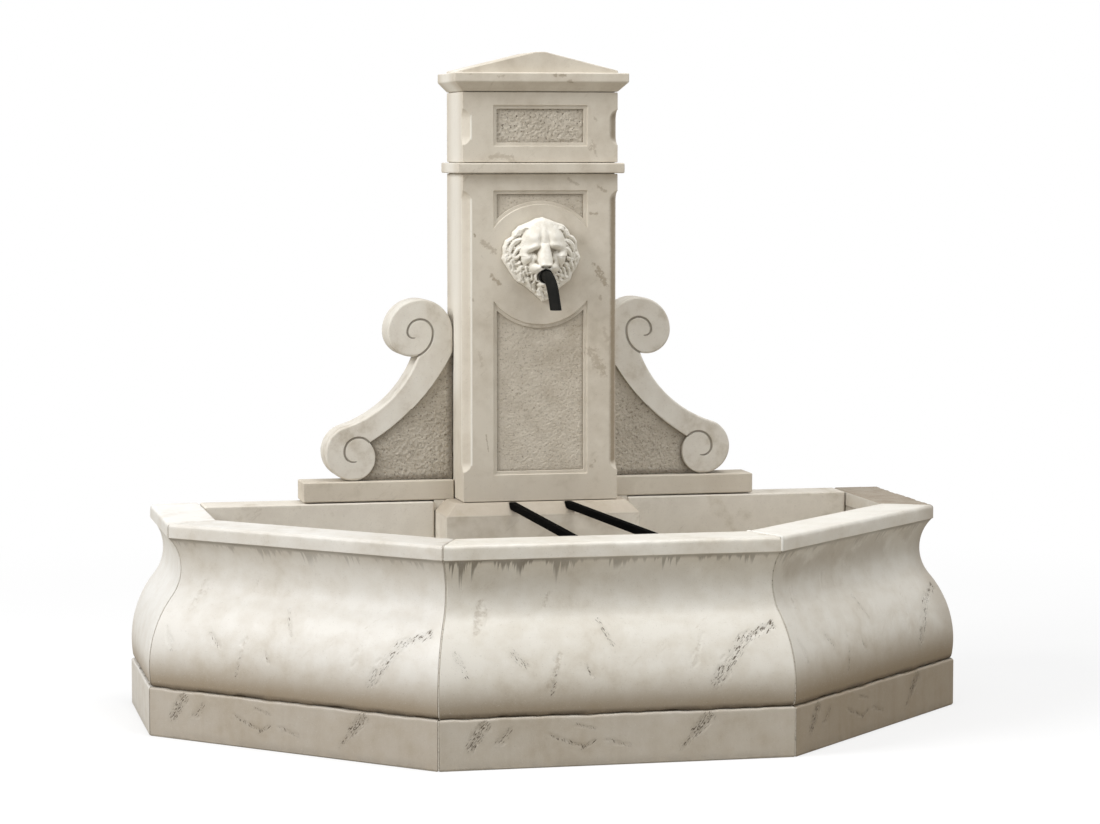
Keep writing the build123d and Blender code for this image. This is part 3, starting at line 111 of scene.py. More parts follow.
def pick(obj: bpy.types.Object, kind: Pick, test: Callable[[Vector, Vector], bool]) -> None:
    """Selects elements of the edited object by their place and direction.

    Args:
        obj: The object in edit mode.
        kind: Vertices, edges or faces.
        test: Takes an element's centre and its normal, or an edge's direction.
    """
    bpy.ops.mesh.select_mode(type=kind.value)
    bpy.ops.mesh.select_all(action="DESELECT")
    shell = bmesh.from_edit_mesh(obj.data)
    if kind is Pick.VERT:
        found = [v for v in shell.verts if test(v.co, v.normal)]
    elif kind is Pick.EDGE:
        found = [
            e for e in shell.edges
            if test((e.verts[0].co + e.verts[1].co) / 2, (e.verts[1].co - e.verts[0].co).normalized())
        ]
    else:
        found = [f for f in shell.faces if test(f.calc_center_median(), f.normal)]
    for element in found:
        element.select_set(True)
    bmesh.update_edit_mesh(obj.data)


def named(name: str) -> bpy.types.Object:
    """Gives the primitive that was just added its name, with its place moved into its mesh."""
    obj = bpy.context.object
    obj.name = name
    obj.data.name = name
    bpy.ops.object.transform_apply(location=True, rotation=True, scale=True)
    return obj


def add_block(name: str, low: Point3, high: Point3) -> bpy.types.Object:
    """Adds a box between two corners.

    Args:
        name: The object's name.
        low: Lowest corner.
        high: Highest corner.

    Returns:
        The box.
    """
    deselect_all()
    middle = (Vector(low) + Vector(high)) / 2
    bpy.ops.mesh.primitive_cube_add(size=1, location=middle, scale=Vector(high) - Vector(low))
    return named(name)


def add_rod(name: str, radius: float, start: Point3, end: Point3, sides: int = 64) -> bpy.types.Object:
    """Adds a round rod between two points.

    Args:
        name: The object's name.
        radius: The rod's radius.
        start: One end of its axis.
        end: The other end.
        sides: How many sides the round has.

    Returns:
        The rod.
    """
    deselect_all()
    way = Vector(end) - Vector(start)
    turn = way.to_track_quat("Z", "Y").to_euler()
    middle = (Vector(start) + Vector(end)) / 2
    bpy.ops.mesh.primitive_cylinder_add(
        vertices=sides, radius=radius, depth=way.length, location=middle, rotation=turn
    )
    return named(name)


def add_tube(name: str, points: Sequence[Point3], radius: float, sides: int = 4) -> bpy.types.Object:
    """Adds a round bead along a line.

    Args:
        name: The object's name.
        points: The line's corners.
        radius: The bead's radius.
        sides: Facets on a quarter of its round.

    Returns:
        The bead as a mesh.
    """
    deselect_all()
    line = bpy.data.curves.new(name, "CURVE")
    line.dimensions = "3D"
    line.bevel_depth = radius
    line.bevel_resolution = sides
    line.use_fill_caps = True
    spline = line.splines.new("NURBS")
    spline.points.add(len(points) - 1)
    for point, spot in zip(spline.points, points):
        point.co = (*spot, 1.0)
    spline.order_u = 3
    spline.use_endpoint_u = True
    obj = bpy.data.objects.new(name, line)
    bpy.context.scene.collection.objects.link(obj)
    make_active(obj)
    bpy.ops.object.convert(target="MESH")
    return named(name)


def trace_outline(name: str, points: Sequence[Point3]) -> bpy.types.Object:
    """Draws a closed outline by extruding one vertex from point to point, and fills it.

    Args:
        name: The object's name.
        points: Corners of the outline in order.

    Returns:
        A flat face.
    """
    deselect_all()
    bpy.ops.mesh.primitive_plane_add(size=1)
    obj = named(name)
    with editing(obj):
        bpy.ops.mesh.merge(type="CENTER")
        bpy.ops.transform.translate(value=points[0])
        for here, there in zip(points, points[1:]):
            bpy.ops.mesh.extrude_vertices_move(
                TRANSFORM_OT_translate={"value": Vector(there) - Vector(here)}
            )
        bpy.ops.mesh.select_all(action="SELECT")
        bpy.ops.mesh.edge_face_add()
    return obj


def extrude_face(obj: bpy.types.Object, offset: Point3) -> bpy.types.Object:
    """Extrudes a flat face into a solid.

    Args:
        obj: The flat face.
        offset: How far and which way.

    Returns:
        The same object.
    """
    with editing(obj):
        bpy.ops.mesh.extrude_region_move(TRANSFORM_OT_translate={"value": offset})
        bpy.ops.mesh.select_all(action="SELECT")
        bpy.ops.mesh.normals_make_consistent(inside=False)
    return obj


def modify(obj: bpy.types.Object, kind: str, **settings: Any) -> bpy.types.Object:
    """Adds a modifier, sets it and applies it.

    Args:
        obj: The object to change.
        kind: The modifier's type.
        **settings: The modifier's properties.

    Returns:
        The same object.
    """
    make_active(obj)
    modifier = obj.modifiers.new(kind.lower(), kind)
    for key, value in settings.items():
        setattr(modifier, key, value)
    bpy.ops.object.modifier_apply(modifier=modifier.name)
    return obj


def cut(obj: bpy.types.Object, tool: bpy.types.Object, how: Cut = Cut.AWAY) -> bpy.types.Object:
    """Combines an object with a tool, which is used up.

    Args:
        obj: The object to change.
        tool: The other shape.
        how: Whether the tool is cut away, kept within or joined.

    Returns:
        The same object.
    """
    modify(obj, "BOOLEAN", object=tool, operation=how.value, solver="EXACT")
    bpy.data.objects.remove(tool)
    return obj


def ease_edges(obj: bpy.types.Object, width: float, segments: int = 2, angle: float = 40.0) -> bpy.types.Object:
    """Rounds every edge that is sharper than an angle.

    Args:
        obj: The object to change.
        width: Width of the rounding.
        segments: Facets across it.
        angle: Least angle of an edge that is rounded, in degrees.

    Returns:
        The same object.
    """
    with editing(obj):
        bpy.ops.mesh.remove_doubles(threshold=0.00005)
        bpy.ops.mesh.dissolve_limited(angle_limit=math.radians(0.5))
    return modify(
        obj, "BEVEL", width=width, segments=segments, limit_method="ANGLE",
        angle_limit=math.radians(angle), use_clamp_overlap=False, miter_outer="MITER_ARC",
    )


def duplicate(obj: bpy.types.Object, name: str) -> bpy.types.Object:
    """Copies an object with its own mesh.

    Args:
        obj: The object to copy.
        name: The copy's name.

    Returns:
        The copy.
    """
    make_active(obj)
    bpy.ops.object.duplicate()
    copy = bpy.context.object
    copy.name = name
    copy.data.name = name
    return copy


def place(obj: bpy.types.Object, matrix: Matrix) -> bpy.types.Object:
    """Moves an object and puts the move into its mesh.

    Args:
        obj: The object to move.
        matrix: The move.

    Returns:
        The same object.
    """
    make_active(obj)
    obj.matrix_world = matrix
    bpy.ops.object.transform_apply(location=True, rotation=True, scale=True)
    if matrix.determinant() < 0:
        with editing(obj):
            bpy.ops.mesh.normals_make_consistent(inside=False)
    return obj


def mesh_points(obj: bpy.types.Object) -> np.ndarray:
    """Reads an object's vertices as rows of x, y and z."""
    points = np.zeros(len(obj.data.vertices) * 3, np.float32)
    obj.data.vertices.foreach_get("co", points)
    return points.reshape(-1, 3).astype(float)


def set_points(obj: bpy.types.Object, points: np.ndarray) -> None:
    """Writes an object's vertices from rows of x, y and z."""
    obj.data.vertices.foreach_set("co", points.astype(np.float32).ravel())
    obj.data.update()


def arc_points(centre: Point2, start: Point2, end: Point2, step: float) -> list[Point2]:
    """Points along the shorter arc about a centre.

    Args:
        centre: The arc's centre.
        start: Where it starts, which isn't repeated.
        end: Where it ends.
        step: Length between points.

    Returns:
        The points after the start, up to the end.
    """
    radius = math.dist(centre, start)
    first = math.atan2(start[1] - centre[1], start[0] - centre[0])
    turn = math.atan2(end[1] - centre[1], end[0] - centre[0]) - first
    turn = (turn + math.pi) % (2 * math.pi) - math.pi
    count = max(2, round(abs(turn) * radius / step))
    angles = [first + turn * i / count for i in range(1, count + 1)]
    return [(centre[0] + radius * math.cos(a), centre[1] + radius * math.sin(a)) for a in angles]


def line_points(start: Point2, end: Point2, step: float) -> list[Point2]:
    """Points along a straight line, after its start and up to its end."""
    count = max(1, round(math.dist(start, end) / step))
    return [
        (start[0] + (end[0] - start[0]) * i / count, start[1] + (end[1] - start[1]) * i / count)
        for i in range(1, count + 1)
    ]


def circle_point(centre: Point2, radius: float, degrees: float) -> Point2:
    """Point on a circle at an angle."""
    angle = math.radians(degrees)
    return (centre[0] + radius * math.cos(angle), centre[1] + radius * math.sin(angle))


def bowed_points(start: Point2, end: Point2, bow: float, step: float) -> list[Point2]:
    """Points along an arc that bows out to the right of its way.

    Args:
        start: Where it starts, which isn't repeated.
        end: Where it ends.
        bow: How far the middle stands off the straight line.
        step: Length between points.

    Returns:
        The points after the start, up to the end.
    """
    chord = Vector(end) - Vector(start)
    right = Vector((chord.y, -chord.x)).normalized()
    radius = (chord.length ** 2 / 4 + bow ** 2) / (2 * bow)
    centre = Vector(start) + chord / 2 + right * (bow - radius)
    return arc_points(tuple(centre), start, end, step)


# Shader tools


class Value:
    """A socket that can be used in Python expressions."""

    def __init__(self, graph: "Graph", socket: bpy.types.NodeSocket) -> None:
        """Keeps the socket and the graph that it belongs to."""
        self.graph = graph
        self.socket = socket

    def _math(self, operation: str, *terms: Number) -> "Value":
        """Adds a Math node.

        Args:
            operation: The node's operation.
            *terms: Its inputs in order.

        Returns:
            The node's result.
        """
        return self.graph.node("ShaderNodeMath", {"operation": operation}, dict(enumerate(terms)))

    def __add__(self, other: Number) -> "Value":
        """Sum."""
        return self._math("ADD", self, other)

    __radd__ = __add__

    def __sub__(self, other: Number) -> "Value":
        """Difference."""
        return self._math("SUBTRACT", self, other)

    def __rsub__(self, other: Number) -> "Value":
        """Difference from a number."""
        return self._math("SUBTRACT", other, self)

    def __mul__(self, other: Number) -> "Value":
        """Product."""
        return self._math("MULTIPLY", self, other)

    __rmul__ = __mul__

    def __truediv__(self, other: Number) -> "Value":
        """Quotient."""
        return self._math("DIVIDE", self, other)

    def __pow__(self, other: Number) -> "Value":
        """Power."""
        return self._math("POWER", self, other)

    def larger(self, other: Number) -> "Value":
        """The larger of two values."""
        return self._math("MAXIMUM", self, other)

    def ramp(self, low: float, high: float) -> "Value":
        """Rises smoothly from 0 at one value to 1 at another.

        Args:
            low: Where it is 0.
            high: Where it is 1, which may be the lower number.

        Returns:
            The eased share between 0 and 1.
        """
        settings = {"interpolation_type": "SMOOTHSTEP"}
        if low < high:
            return self.graph.node("ShaderNodeMapRange", settings, {0: self, 1: low, 2: high})
        return self.graph.node("ShaderNodeMapRange", settings, {0: self, 1: high, 2: low, 3: 1.0, 4: 0.0})


class Graph:
    """The node tree of one material."""

    def __init__(self, name: str) -> None:
        """Starts a material with a Principled shader.

        Args:
            name: The material's name.
        """
        self.material = bpy.data.materials.new(name)
        self.material.use_nodes = True
        self.nodes = self.material.node_tree.nodes
        self.links = self.material.node_tree.links
        self.shader = next(n for n in self.nodes if n.type == "BSDF_PRINCIPLED")

    def node(
        self,
        kind: str,
        settings: dict[str, Any] | None = None,
        inputs: dict[int | str, Any] | None = None,
        output: int | str = 0,
    ) -> Value:
        """Adds a node.

        Args:
            kind: The node's type.
            settings: Its properties, and "stops" for a ramp's positions and colours.
            inputs: Values or links of its sockets, by name or number.
            output: Which result to give back.

        Returns:
            One of the node's results.
        """
        made = self.nodes.new(kind)
        for key, setting in (settings or {}).items():
            if key == "stops":
                self._set_stops(made.color_ramp, setting)
            else:
                setattr(made, key, setting)
        for key, value in (inputs or {}).items():
            self.feed(made.inputs[key], value)
        return Value(self, made.outputs[output])

    @staticmethod
    def _set_stops(band: bpy.types.ColorRamp, stops: Sequence[tuple[float, Colour]]) -> None:
        """Sets a ramp's positions and colours."""
        while len(band.elements) < len(stops):
            band.elements.new(1.0)
        for element, (position, colour) in zip(band.elements, stops):
            element.position = position
            element.color = (*colour, 1.0)

    def feed(self, socket: bpy.types.NodeSocket, value: Any) -> None:
        """Links a value to a socket, or sets the socket to a constant."""
        if isinstance(value, Value):
            self.links.new(value.socket, socket)
        elif socket.type == "RGBA" and len(value) == 3:
            socket.default_value = (*value, 1.0)
        else:
            socket.default_value = value

    def set(self, **inputs: Any) -> None:
        """Sets or links the shader's sockets, named with underscores for spaces."""
        for key, value in inputs.items():
            self.feed(self.shader.inputs[key.replace("_", " ")], value)

    def object_place(self, turn: float = 0.0, centre_y: float = 0.0, stretch: Point3 = (1.0, 1.0, 1.0)) -> Value:
        """Object coordinates, turned about an upright axis and stretched.

        Args:
            turn: Angle in degrees that the piece was turned by, which is taken off again.
            centre_y: Where the upright axis stands on Y.
            stretch: Scale along each axis after the turn.

        Returns:
            The coordinates.
        """
        place_here = self.node("ShaderNodeTexCoord", output="Object")
        angle = math.radians(-turn)
        shift = (centre_y * math.sin(angle), centre_y - centre_y * math.cos(angle), 0.0)
        turned = self.node(
            "ShaderNodeMapping", None, {"Vector": place_here, "Location": shift, "Rotation": (0.0, 0.0, angle)}
        )
        return self.node("ShaderNodeMapping", None, {"Vector": turned, "Scale": stretch})

    def axis(self, vector: Value, name: str) -> Value:
        """One coordinate of a vector."""
        return self.node("ShaderNodeSeparateXYZ", None, {"Vector": vector}, name)

    def noise(self, vector: Value, scale: float, detail: float = 3.0, roughness: float = 0.55) -> Value:
        """Cloudy noise.

        Args:
            vector: Coordinates.
            scale: Lumps per metre.
            detail: Octaves.
            roughness: How strong the fine octaves are.

        Returns:
            A value about 0.5.
        """
        return self.node(
            "ShaderNodeTexNoise", None,
            {"Vector": vector, "Scale": scale, "Detail": detail, "Roughness": roughness},
        )

    def cells(self, vector: Value, scale: float) -> Value:
        """Distance to the nearest of scattered points."""
        return self.node("ShaderNodeTexVoronoi", None, {"Vector": vector, "Scale": scale})

    def blend(self, share: Number, under: Any, over: Any, mode: str = "MIX") -> Value:
        """Mixes two colours.

        Args:
            share: How much of the second shows.
            under: First colour.
            over: Second colour.
            mode: The way of mixing.

        Returns:
            The mixed colour.
        """
        return self.node(
            "ShaderNodeMix", {"data_type": "RGBA", "blend_type": mode, "clamp_factor": True},
            {0: share, 6: under, 7: over}, 2,
        )

    def bump(self, height: Value, distance: float, strength: float = 1.0) -> Value:
        """Turns a height into a normal.

        Args:
            height: The height between 0 and 1.
            distance: What 1 stands for in metres.
            strength: How strongly it shows.

        Returns:
            The normal.
        """
        return self.node("ShaderNodeBump", None, {"Strength": strength, "Distance": distance, "Height": height})


# Finishes


class GrimeAndShade(Enum):
    """Where grime and painted shade gather on a stone piece."""

    PLAIN = "plain"
    PANEL = "panel"
    PILLAR = "pillar"
    PEDESTAL = "pedestal"


@dataclass(frozen=True)
class Mark:
    """A streak along a line on a stone, used for stained scrapes, painted shade and painted highlights.

    Attributes:
        start: One end.
        end: The other end.
        width: How far it spreads.
        strength: How strongly it shows.
        torn: How broken its edge is.
    """

    start: Point3
    end: Point3
    width: float
    strength: float
    torn: float = 5.0

    def share(self, graph: Graph, here: Value, ragged: Value) -> Value:
        """How strongly the streak shows.

        Args:
            graph: The material's graph.
            here: Coordinates on the piece.
            ragged: Noise about 0.5 that breaks its edge up.

        Returns:
            A value from 0 to the streak's strength.
        """
        way = Vector(self.end) - Vector(self.start)
        off = graph.node("ShaderNodeVectorMath", {"operation": "SUBTRACT"}, {0: here, 1: self.start})
        run = tuple(way / way.length_squared)
        along = graph.node("ShaderNodeVectorMath", {"operation": "DOT_PRODUCT"}, {0: off, 1: run}, "Value")
        held = graph.node("ShaderNodeClamp", None, {"Value": along})
        near = graph.node("ShaderNodeVectorMath", {"operation": "SCALE"}, {0: tuple(way), "Scale": held})
        gap = graph.node("ShaderNodeVectorMath", {"operation": "DISTANCE"}, {0: off, 1: near}, "Value")
        return (gap + (ragged - 0.5) * (self.torn * self.width)).ramp(self.width, 0.2 * self.width) * self.strength


@dataclass(frozen=True)
class CastStone:
    """Weathered cast stone with sand grain, patina and grime that runs down, with painted shade in its grooves, under
    the rim and at the belly's foot, and painted highlights along some edges.

    Attributes:
        name: The material's name.
        light: Colour of clean, worn stone.
        body: Its usual colour.
        patina: Colour of its brown-grey patina.
        stain_and_shade: Colour of brown staining, also painted as warm shade at the belly's foot, under the rim and
            towards a panel's right end.
        dirt_and_shade: Colour of grime in pits and runs, also painted as shade in grooves, in the tuck over the plinth
            and just under the rim.
        grime_and_shade: Where grime and painted shade gather.
        turn: Angle in degrees that the piece was turned by about the octagon's centre.
        wet: Where along a panel the grime runs down most.
        damp_and_shade: How stained the panel's foot and neck are, from 0 to 1; it also sets the painted shade towards
            its right end and over the whole panel.
        dusty: How stained the rim's top is, from 0 to 1.
        foot_grime_and_shade: How stained its plinth and the belly's foot are, from 0 to 1, with painted shade at the
            belly's foot.
        flecked: How strongly the mould's scrapes show, from 0 to 1.
        runny: How strongly grime runs down under the rim, from 0 to 1.
        marks: Single scrapes, and strips of staining and painted shade down the pillar's chamfers.
        grain: How deep the sand grain is, in metres.
        coarse: How deep the tooled pits are, in metres.
        holed: How strongly dark holes show in a tooled face, from 0 to 1.
        shaded_creases: How strongly grime and painted shade show in grooves and along edges, from 0 to 1.
        rubbed_and_highlit: Painted highlights along edges and over faces; the edges are also worn clean.
        rough: Roughness of the clean stone.
    """

    name: str
    light: Colour = (0.665, 0.613, 0.523)
    body: Colour = (0.595, 0.538, 0.449)
    patina: Colour = (0.47, 0.415, 0.33)
    stain_and_shade: Colour = (0.27, 0.205, 0.13)
    dirt_and_shade: Colour = (0.105, 0.083, 0.058)
    grime_and_shade: GrimeAndShade = GrimeAndShade.PLAIN
    turn: float = 0.0
    wet: float = 0.0
    damp_and_shade: float = 0.0
    dusty: float = 0.0
    foot_grime_and_shade: float = 0.25
    flecked: float = 1.0
    runny: float = 0.5
    marks: tuple[Mark, ...] = ()
    grain: float = 0.0006
    coarse: float = 0.0
    holed: float = 0.55
    shaded_creases: float = 0.0
    rubbed_and_highlit: tuple[Mark, ...] = ()
    rough: float = 0.82

    CLEAN_HIGHLIGHT: ClassVar[Colour] = (0.86, 0.835, 0.77)

    def material(self) -> bpy.types.Material:
        """Builds the node tree.

        Returns:
            The material.
        """
        graph = Graph(self.name)
        here = graph.object_place(self.turn, Octagon.CENTRE_Y)
        cloud = graph.noise(here, 2.6, 4.0)
        mottle = graph.noise(here, 17.0, 6.0, 0.62)
        sand = graph.noise(here, 520.0, 2.0, 0.7)
        tone = cloud * 0.55 + mottle * 0.45
        colour = graph.node(
            "ShaderNodeValToRGB",
            {"stops": [(0.33, self.patina), (0.46, self.body), (0.58, self.light)]},
            {"Fac": tone},
        )
        colour = graph.blend(self.smudges(graph) * 0.55, colour, self.patina)
        colour = graph.blend(self.stains_and_shade(graph, here, mottle), colour, self.stain_and_shade)
        # Painted highlights along edges and over faces, partly worn clean.
        for edge in self.rubbed_and_highlit:
            colour = graph.blend(edge.share(graph, here, mottle), colour, self.CLEAN_HIGHLIGHT)
        grime_and_shade = self.grime_and_shade_share(graph, here, mottle)
        colour = graph.blend(grime_and_shade, colour, self.dirt_and_shade)
        # Painted shade and grime in grooves and along the tooled fields' edges.
        if self.shaded_creases:
            crease_shade = graph.node("ShaderNodeAttribute", {"attribute_name": "crease_shade"}, output="Fac")
            colour = graph.blend(crease_shade * (0.7 + mottle * 0.6) * self.shaded_creases, colour, self.dirt_and_shade)
        speck = graph.noise(here, 230.0, 2.0, 0.6).ramp(0.62, 0.72)
        colour = graph.blend(speck * 0.14, colour, self.dirt_and_shade)
        pale = graph.noise(here, 310.0, 2.0, 0.6).ramp(0.60, 0.70)
        colour = graph.blend(pale * 0.20, colour, self.light)
        if self.coarse:
            pits = graph.cells(here, 150.0) * 0.55 + graph.noise(here, 170.0, 3.0, 0.65) * 0.7
            colour = graph.blend(pits.ramp(0.56, 0.30) * 0.55, colour, self.stain_and_shade)
            holes = graph.noise(here, 125.0, 3.0, 0.6).ramp(0.585, 0.66)
            colour = graph.blend(holes * self.holed, colour, self.dirt_and_shade)
            normal = graph.bump(pits + sand * 0.25, self.coarse)
        else:
            normal = graph.bump(sand * 0.6 + mottle * 0.4 - grime_and_shade * 0.4, self.grain)
        graph.set(
            Base_Color=colour,
            Roughness=self.rough - mottle * 0.24 + grime_and_shade * 0.15,
            Specular_IOR_Level=0.38,
            Normal=normal,
        )
        return graph.material

    def slanted(self, graph: Graph, lean: float, stretch: float) -> Value:
        """Coordinates along and across a slanting direction.

        Args:
            graph: The material's graph.
            lean: Angle of the direction from level, in degrees.
            stretch: How much narrower things get across it.

        Returns:
            The coordinates.
        """
        here = graph.object_place(self.turn, Octagon.CENTRE_Y)
        turned = graph.node("ShaderNodeMapping", None, {"Vector": here, "Rotation": (0.0, math.radians(lean), 0.0)})
        return graph.node("ShaderNodeMapping", None, {"Vector": turned, "Scale": (1.0, 1.0, stretch)})

    def smudges(self, graph: Graph) -> Value:
        """Slanting grey smudges of old grime.

        Args:
            graph: The material's graph.

        Returns:
            How strongly they show, from 0 to 1.
        """
        slant = self.slanted(graph, 42.0, 3.2)
        patches = graph.noise(slant, 7.5, 5.0, 0.66).ramp(0.60, 0.72)
        broken = graph.noise(slant, 48.0, 4.0, 0.7).ramp(0.42, 0.62)
        return patches * broken

    def flecks(self, graph: Graph, layer: str, lean: float) -> Value:
        """Thin dark flecks within the scraped places.

        Args:
            graph: The material's graph.
            layer: Attribute of the mesh that says where it is scraped.
            lean: Angle of the scrapes from level, in degrees.

        Returns:
            How strongly they show, from 0 to 1.
        """
        low = graph.axis(graph.object_place(), "Z").ramp(0.1345, 0.1320)
        wear = graph.node("ShaderNodeAttribute", {"attribute_name": layer}, output="Fac")
        wear = wear * (low * (1.0 - self.flecked) + self.flecked)
        fleck = graph.noise(self.slanted(graph, lean, 4.4), 72.0, 4.0, 0.68)
        dark = (fleck + wear * 0.090).ramp(0.600, 0.660) * wear.ramp(0.20, 0.58)
        return dark.larger(wear * 0.11)

    def stains_and_shade(self, graph: Graph, here: Value, mottle: Value) -> Value:
        """Brown staining in wet places and single scrapes, with painted shade at the belly's foot, under the rim,
        towards a panel's right end, over the right-hand panels and down the pillar's chamfers.

        Args:
            graph: The material's graph.
            here: Coordinates on the piece.
            mottle: Middle-sized noise that breaks the edges up.

        Returns:
            How strongly they show, from 0 to 1.
        """
        z = graph.axis(here, "Z")
        if self.grime_and_shade is GrimeAndShade.PANEL:
            along = graph.object_place(self.turn, Octagon.CENTRE_Y, (1.0, 0.05, 0.04))
            streaks = graph.noise(along, 15.0, 4.0, 0.65).ramp(0.44, 0.70)
            belly = z.ramp(0.1320, 0.1345)
            # Darker towards the belly's foot: brown staining and painted shade.
            foot = z.ramp(0.240 + 0.14 * self.foot_grime_and_shade ** 2, 0.136) ** 1.4 * belly * (0.68 + 0.40 * self.foot_grime_and_shade)
            # Painted shade towards the panel's right end.
            side = graph.axis(here, "X").ramp(0.30, 0.47) * 0.80 * self.damp_and_shade ** 2
            clouds = graph.noise(here, 7.0, 5.0, 0.6)
            smear = clouds.ramp(0.40, 0.58) * z.ramp(0.40, 0.50) * (0.05 + 0.44 * self.damp_and_shade)
            # Under the rim: brown smears, and painted shade under the rim's overhang.
            neck = (z.ramp(0.480, 0.535) * (0.12 + 0.14 * self.damp_and_shade)).larger(smear) * z.ramp(0.5358, 0.5335)
            # The plinth painted darker, with faint streaks.
            plinth = (1.0 - belly) * (self.foot_grime_and_shade + streaks * 0.06)
            shade = 0.34 * self.damp_and_shade ** 6
            blotches = clouds.ramp(0.56, 0.68) * 0.22
            top = z.ramp(0.571, 0.5735) * ((0.72 + mottle.ramp(0.20, 0.80) * 0.28) * self.dusty).larger(blotches)
            # Soft brown smears over the mould's smeared scrapes.
            soft = graph.node("ShaderNodeAttribute", {"attribute_name": "smear"}, output="Fac") * self.flecked
            rubbed_and_highlit = (soft + (graph.noise(here, 85.0, 5.0, 0.7) - 0.5) * 2.6).ramp(0.30, 1.00) * soft.ramp(0.05, 0.6)
            stain_and_shade = (rubbed_and_highlit * 0.42).larger(foot).larger(neck).larger(plinth).larger(top).larger(side).larger(shade)
        elif self.grime_and_shade is GrimeAndShade.PEDESTAL:
            # The pedestal's top chamfer painted darker.
            stain_and_shade = z.ramp(0.542, 0.553) * (0.38 + mottle.ramp(0.35, 0.65) * 0.18)
        else:
            stain_and_shade = z.ramp(0.74, 0.58) * mottle.ramp(0.42, 0.64) * 0.16
        if self.marks:
            place_here = graph.object_place()
            ragged = graph.noise(place_here, 95.0, 4.0, 0.7)
            for mark in self.marks:
                stain_and_shade = stain_and_shade.larger(mark.share(graph, place_here, ragged))
        return stain_and_shade

    def grime_and_shade_share(self, graph: Graph, here: Value, mottle: Value) -> Value:
        """Dark grime and painted shade: flecks in scrapes, runs under the rim, a dark band under the rim, the line over
        the plinth and darkening at the plinth's bottom.

        Args:
            graph: The material's graph.
            here: Coordinates on the piece.
            mottle: Middle-sized noise that breaks the edges up.

        Returns:
            How strongly it shows, from 0 to 1.
        """
        if self.grime_and_shade is not GrimeAndShade.PANEL:
            return graph.noise(here, 34.0, 4.0, 0.7).ramp(0.70, 0.80) * 0.30
        flecks = self.flecks(graph, "wear", 52.0).larger(self.flecks(graph, "wear_left", -58.0))
        z = graph.axis(here, "Z")
        under_rim = z.ramp(0.5358, 0.5335)
        along = graph.object_place(self.turn, Octagon.CENTRE_Y, (1.0, 0.02, 0.012))
        aside = graph.axis(here, "X") - self.wet
        wetness = (aside * aside).ramp(0.055, 0.0)
        columns = graph.noise(along, 80.0, 2.0, 0.5).ramp(0.40, 0.64)
        reach = graph.noise(along, 24.0, 3.0, 0.6).ramp(0.34, 0.66)
        patches = graph.noise(along, 5.3, 2.0).ramp(0.42, 0.58)
        length = columns * reach * (0.022 + patches * 0.028 + wetness * (0.11 * self.runny - 0.025)) + 0.006
        fade = ((z - 0.535) / length + 1.0).ramp(0.0, 0.62)
        drips = fade * under_rim * (0.34 + patches * 0.16 + wetness * 0.28) * self.runny
        # A dark band just under the rim: grime and painted shade under the rim's overhang.
        line = z.ramp(0.522, 0.533) * under_rim * (0.34 + patches * 0.16 + wetness * 0.16)
        # The line over the plinth: grime and painted shade in the tuck.
        tuck = z.ramp(0.152, 0.137) * z.ramp(0.1320, 0.1345) * (0.52 + mottle.ramp(0.36, 0.62) * 0.36)
        # Darker towards the plinth's bottom.
        foot = z.ramp(0.030, 0.0) * mottle.ramp(0.36, 0.60) * 0.25
        return flecks.larger(drips).larger(line).larger(tuck).larger(foot)


@dataclass(frozen=True)
class CreamStone:
    """Pale cream stone of the mask, with grime and painted shade in its hollows and painted highlights on its crests.

    Attributes:
        name: The material's name.
        high: Colour of the high places, also painted as highlight on the crests.
        body: Usual colour.
        hollow: Colour of the grime and painted shade in the hollows.
    """

    name: str
    high: Colour = (0.85, 0.82, 0.75)
    body: Colour = (0.77, 0.735, 0.65)
    hollow: Colour = (0.26, 0.22, 0.16)

    def material(self) -> bpy.types.Material:
        """Builds the node tree.

        Returns:
            The material.
        """
        graph = Graph(self.name)
        here = graph.object_place()
        carve = graph.node("ShaderNodeAttribute", {"attribute_name": "carve"}, output="Fac")
        mottle = graph.noise(here, 60.0, 4.0)
        sand = graph.noise(here, 700.0, 2.0, 0.7)
        colour = graph.blend(mottle.ramp(0.40, 0.62), self.body, self.high)
        # Painted shade and grime in the carved hollows.
        colour = graph.blend(carve.ramp(0.46, 0.06) * 0.80, colour, self.hollow)
        # Painted highlight on the carved crests.
        colour = graph.blend(carve.ramp(0.56, 0.85) * 0.6, colour, self.high)
        graph.set(
            Base_Color=colour,
            Roughness=0.80 - mottle * 0.12,
            Specular_IOR_Level=0.35,
            Normal=graph.bump(sand * 0.5 + mottle * 0.5, 0.0006),
        )
        return graph.material


@dataclass(frozen=True)
class Coated:
    """Paint, plastic, rubber or metal with a little wear.

    Attributes:
        name: The material's name.
        colour: Main colour.
        worn: Colour where it is rubbed or dusty.
        metal: Metallic share.
        rough: Roughness.
        grain: Lumps per metre of the fine texture.
        relief: Depth of the fine texture in metres.
        coat: Clear coat weight.
        gloss: Level of the plain reflection.
    """

    name: str
    colour: Colour
    worn: Colour
    metal: float = 0.0
    rough: float = 0.5
    grain: float = 400.0
    relief: float = 0.0001
    coat: float = 0.0
    gloss: float = 0.5

    def material(self) -> bpy.types.Material:
        """Builds the node tree.

        Returns:
            The material.
        """
        graph = Graph(self.name)
        here = graph.object_place()
        broad = graph.noise(here, 24.0, 4.0, 0.6)
        fine = graph.noise(here, self.grain, 3.0, 0.6)
        colour = graph.blend(broad.ramp(0.48, 0.72) * 0.6 + fine.ramp(0.6, 0.75) * 0.2, self.colour, self.worn)
        graph.set(
            Base_Color=colour,
            Metallic=self.metal,
            Roughness=self.rough + (broad - 0.5) * 0.25 + (fine - 0.5) * 0.1,
            Coat_Weight=self.coat,
            Specular_IOR_Level=self.gloss,
            Normal=graph.bump(fine * 0.6 + broad * 0.4, self.relief),
        )
        return graph.material


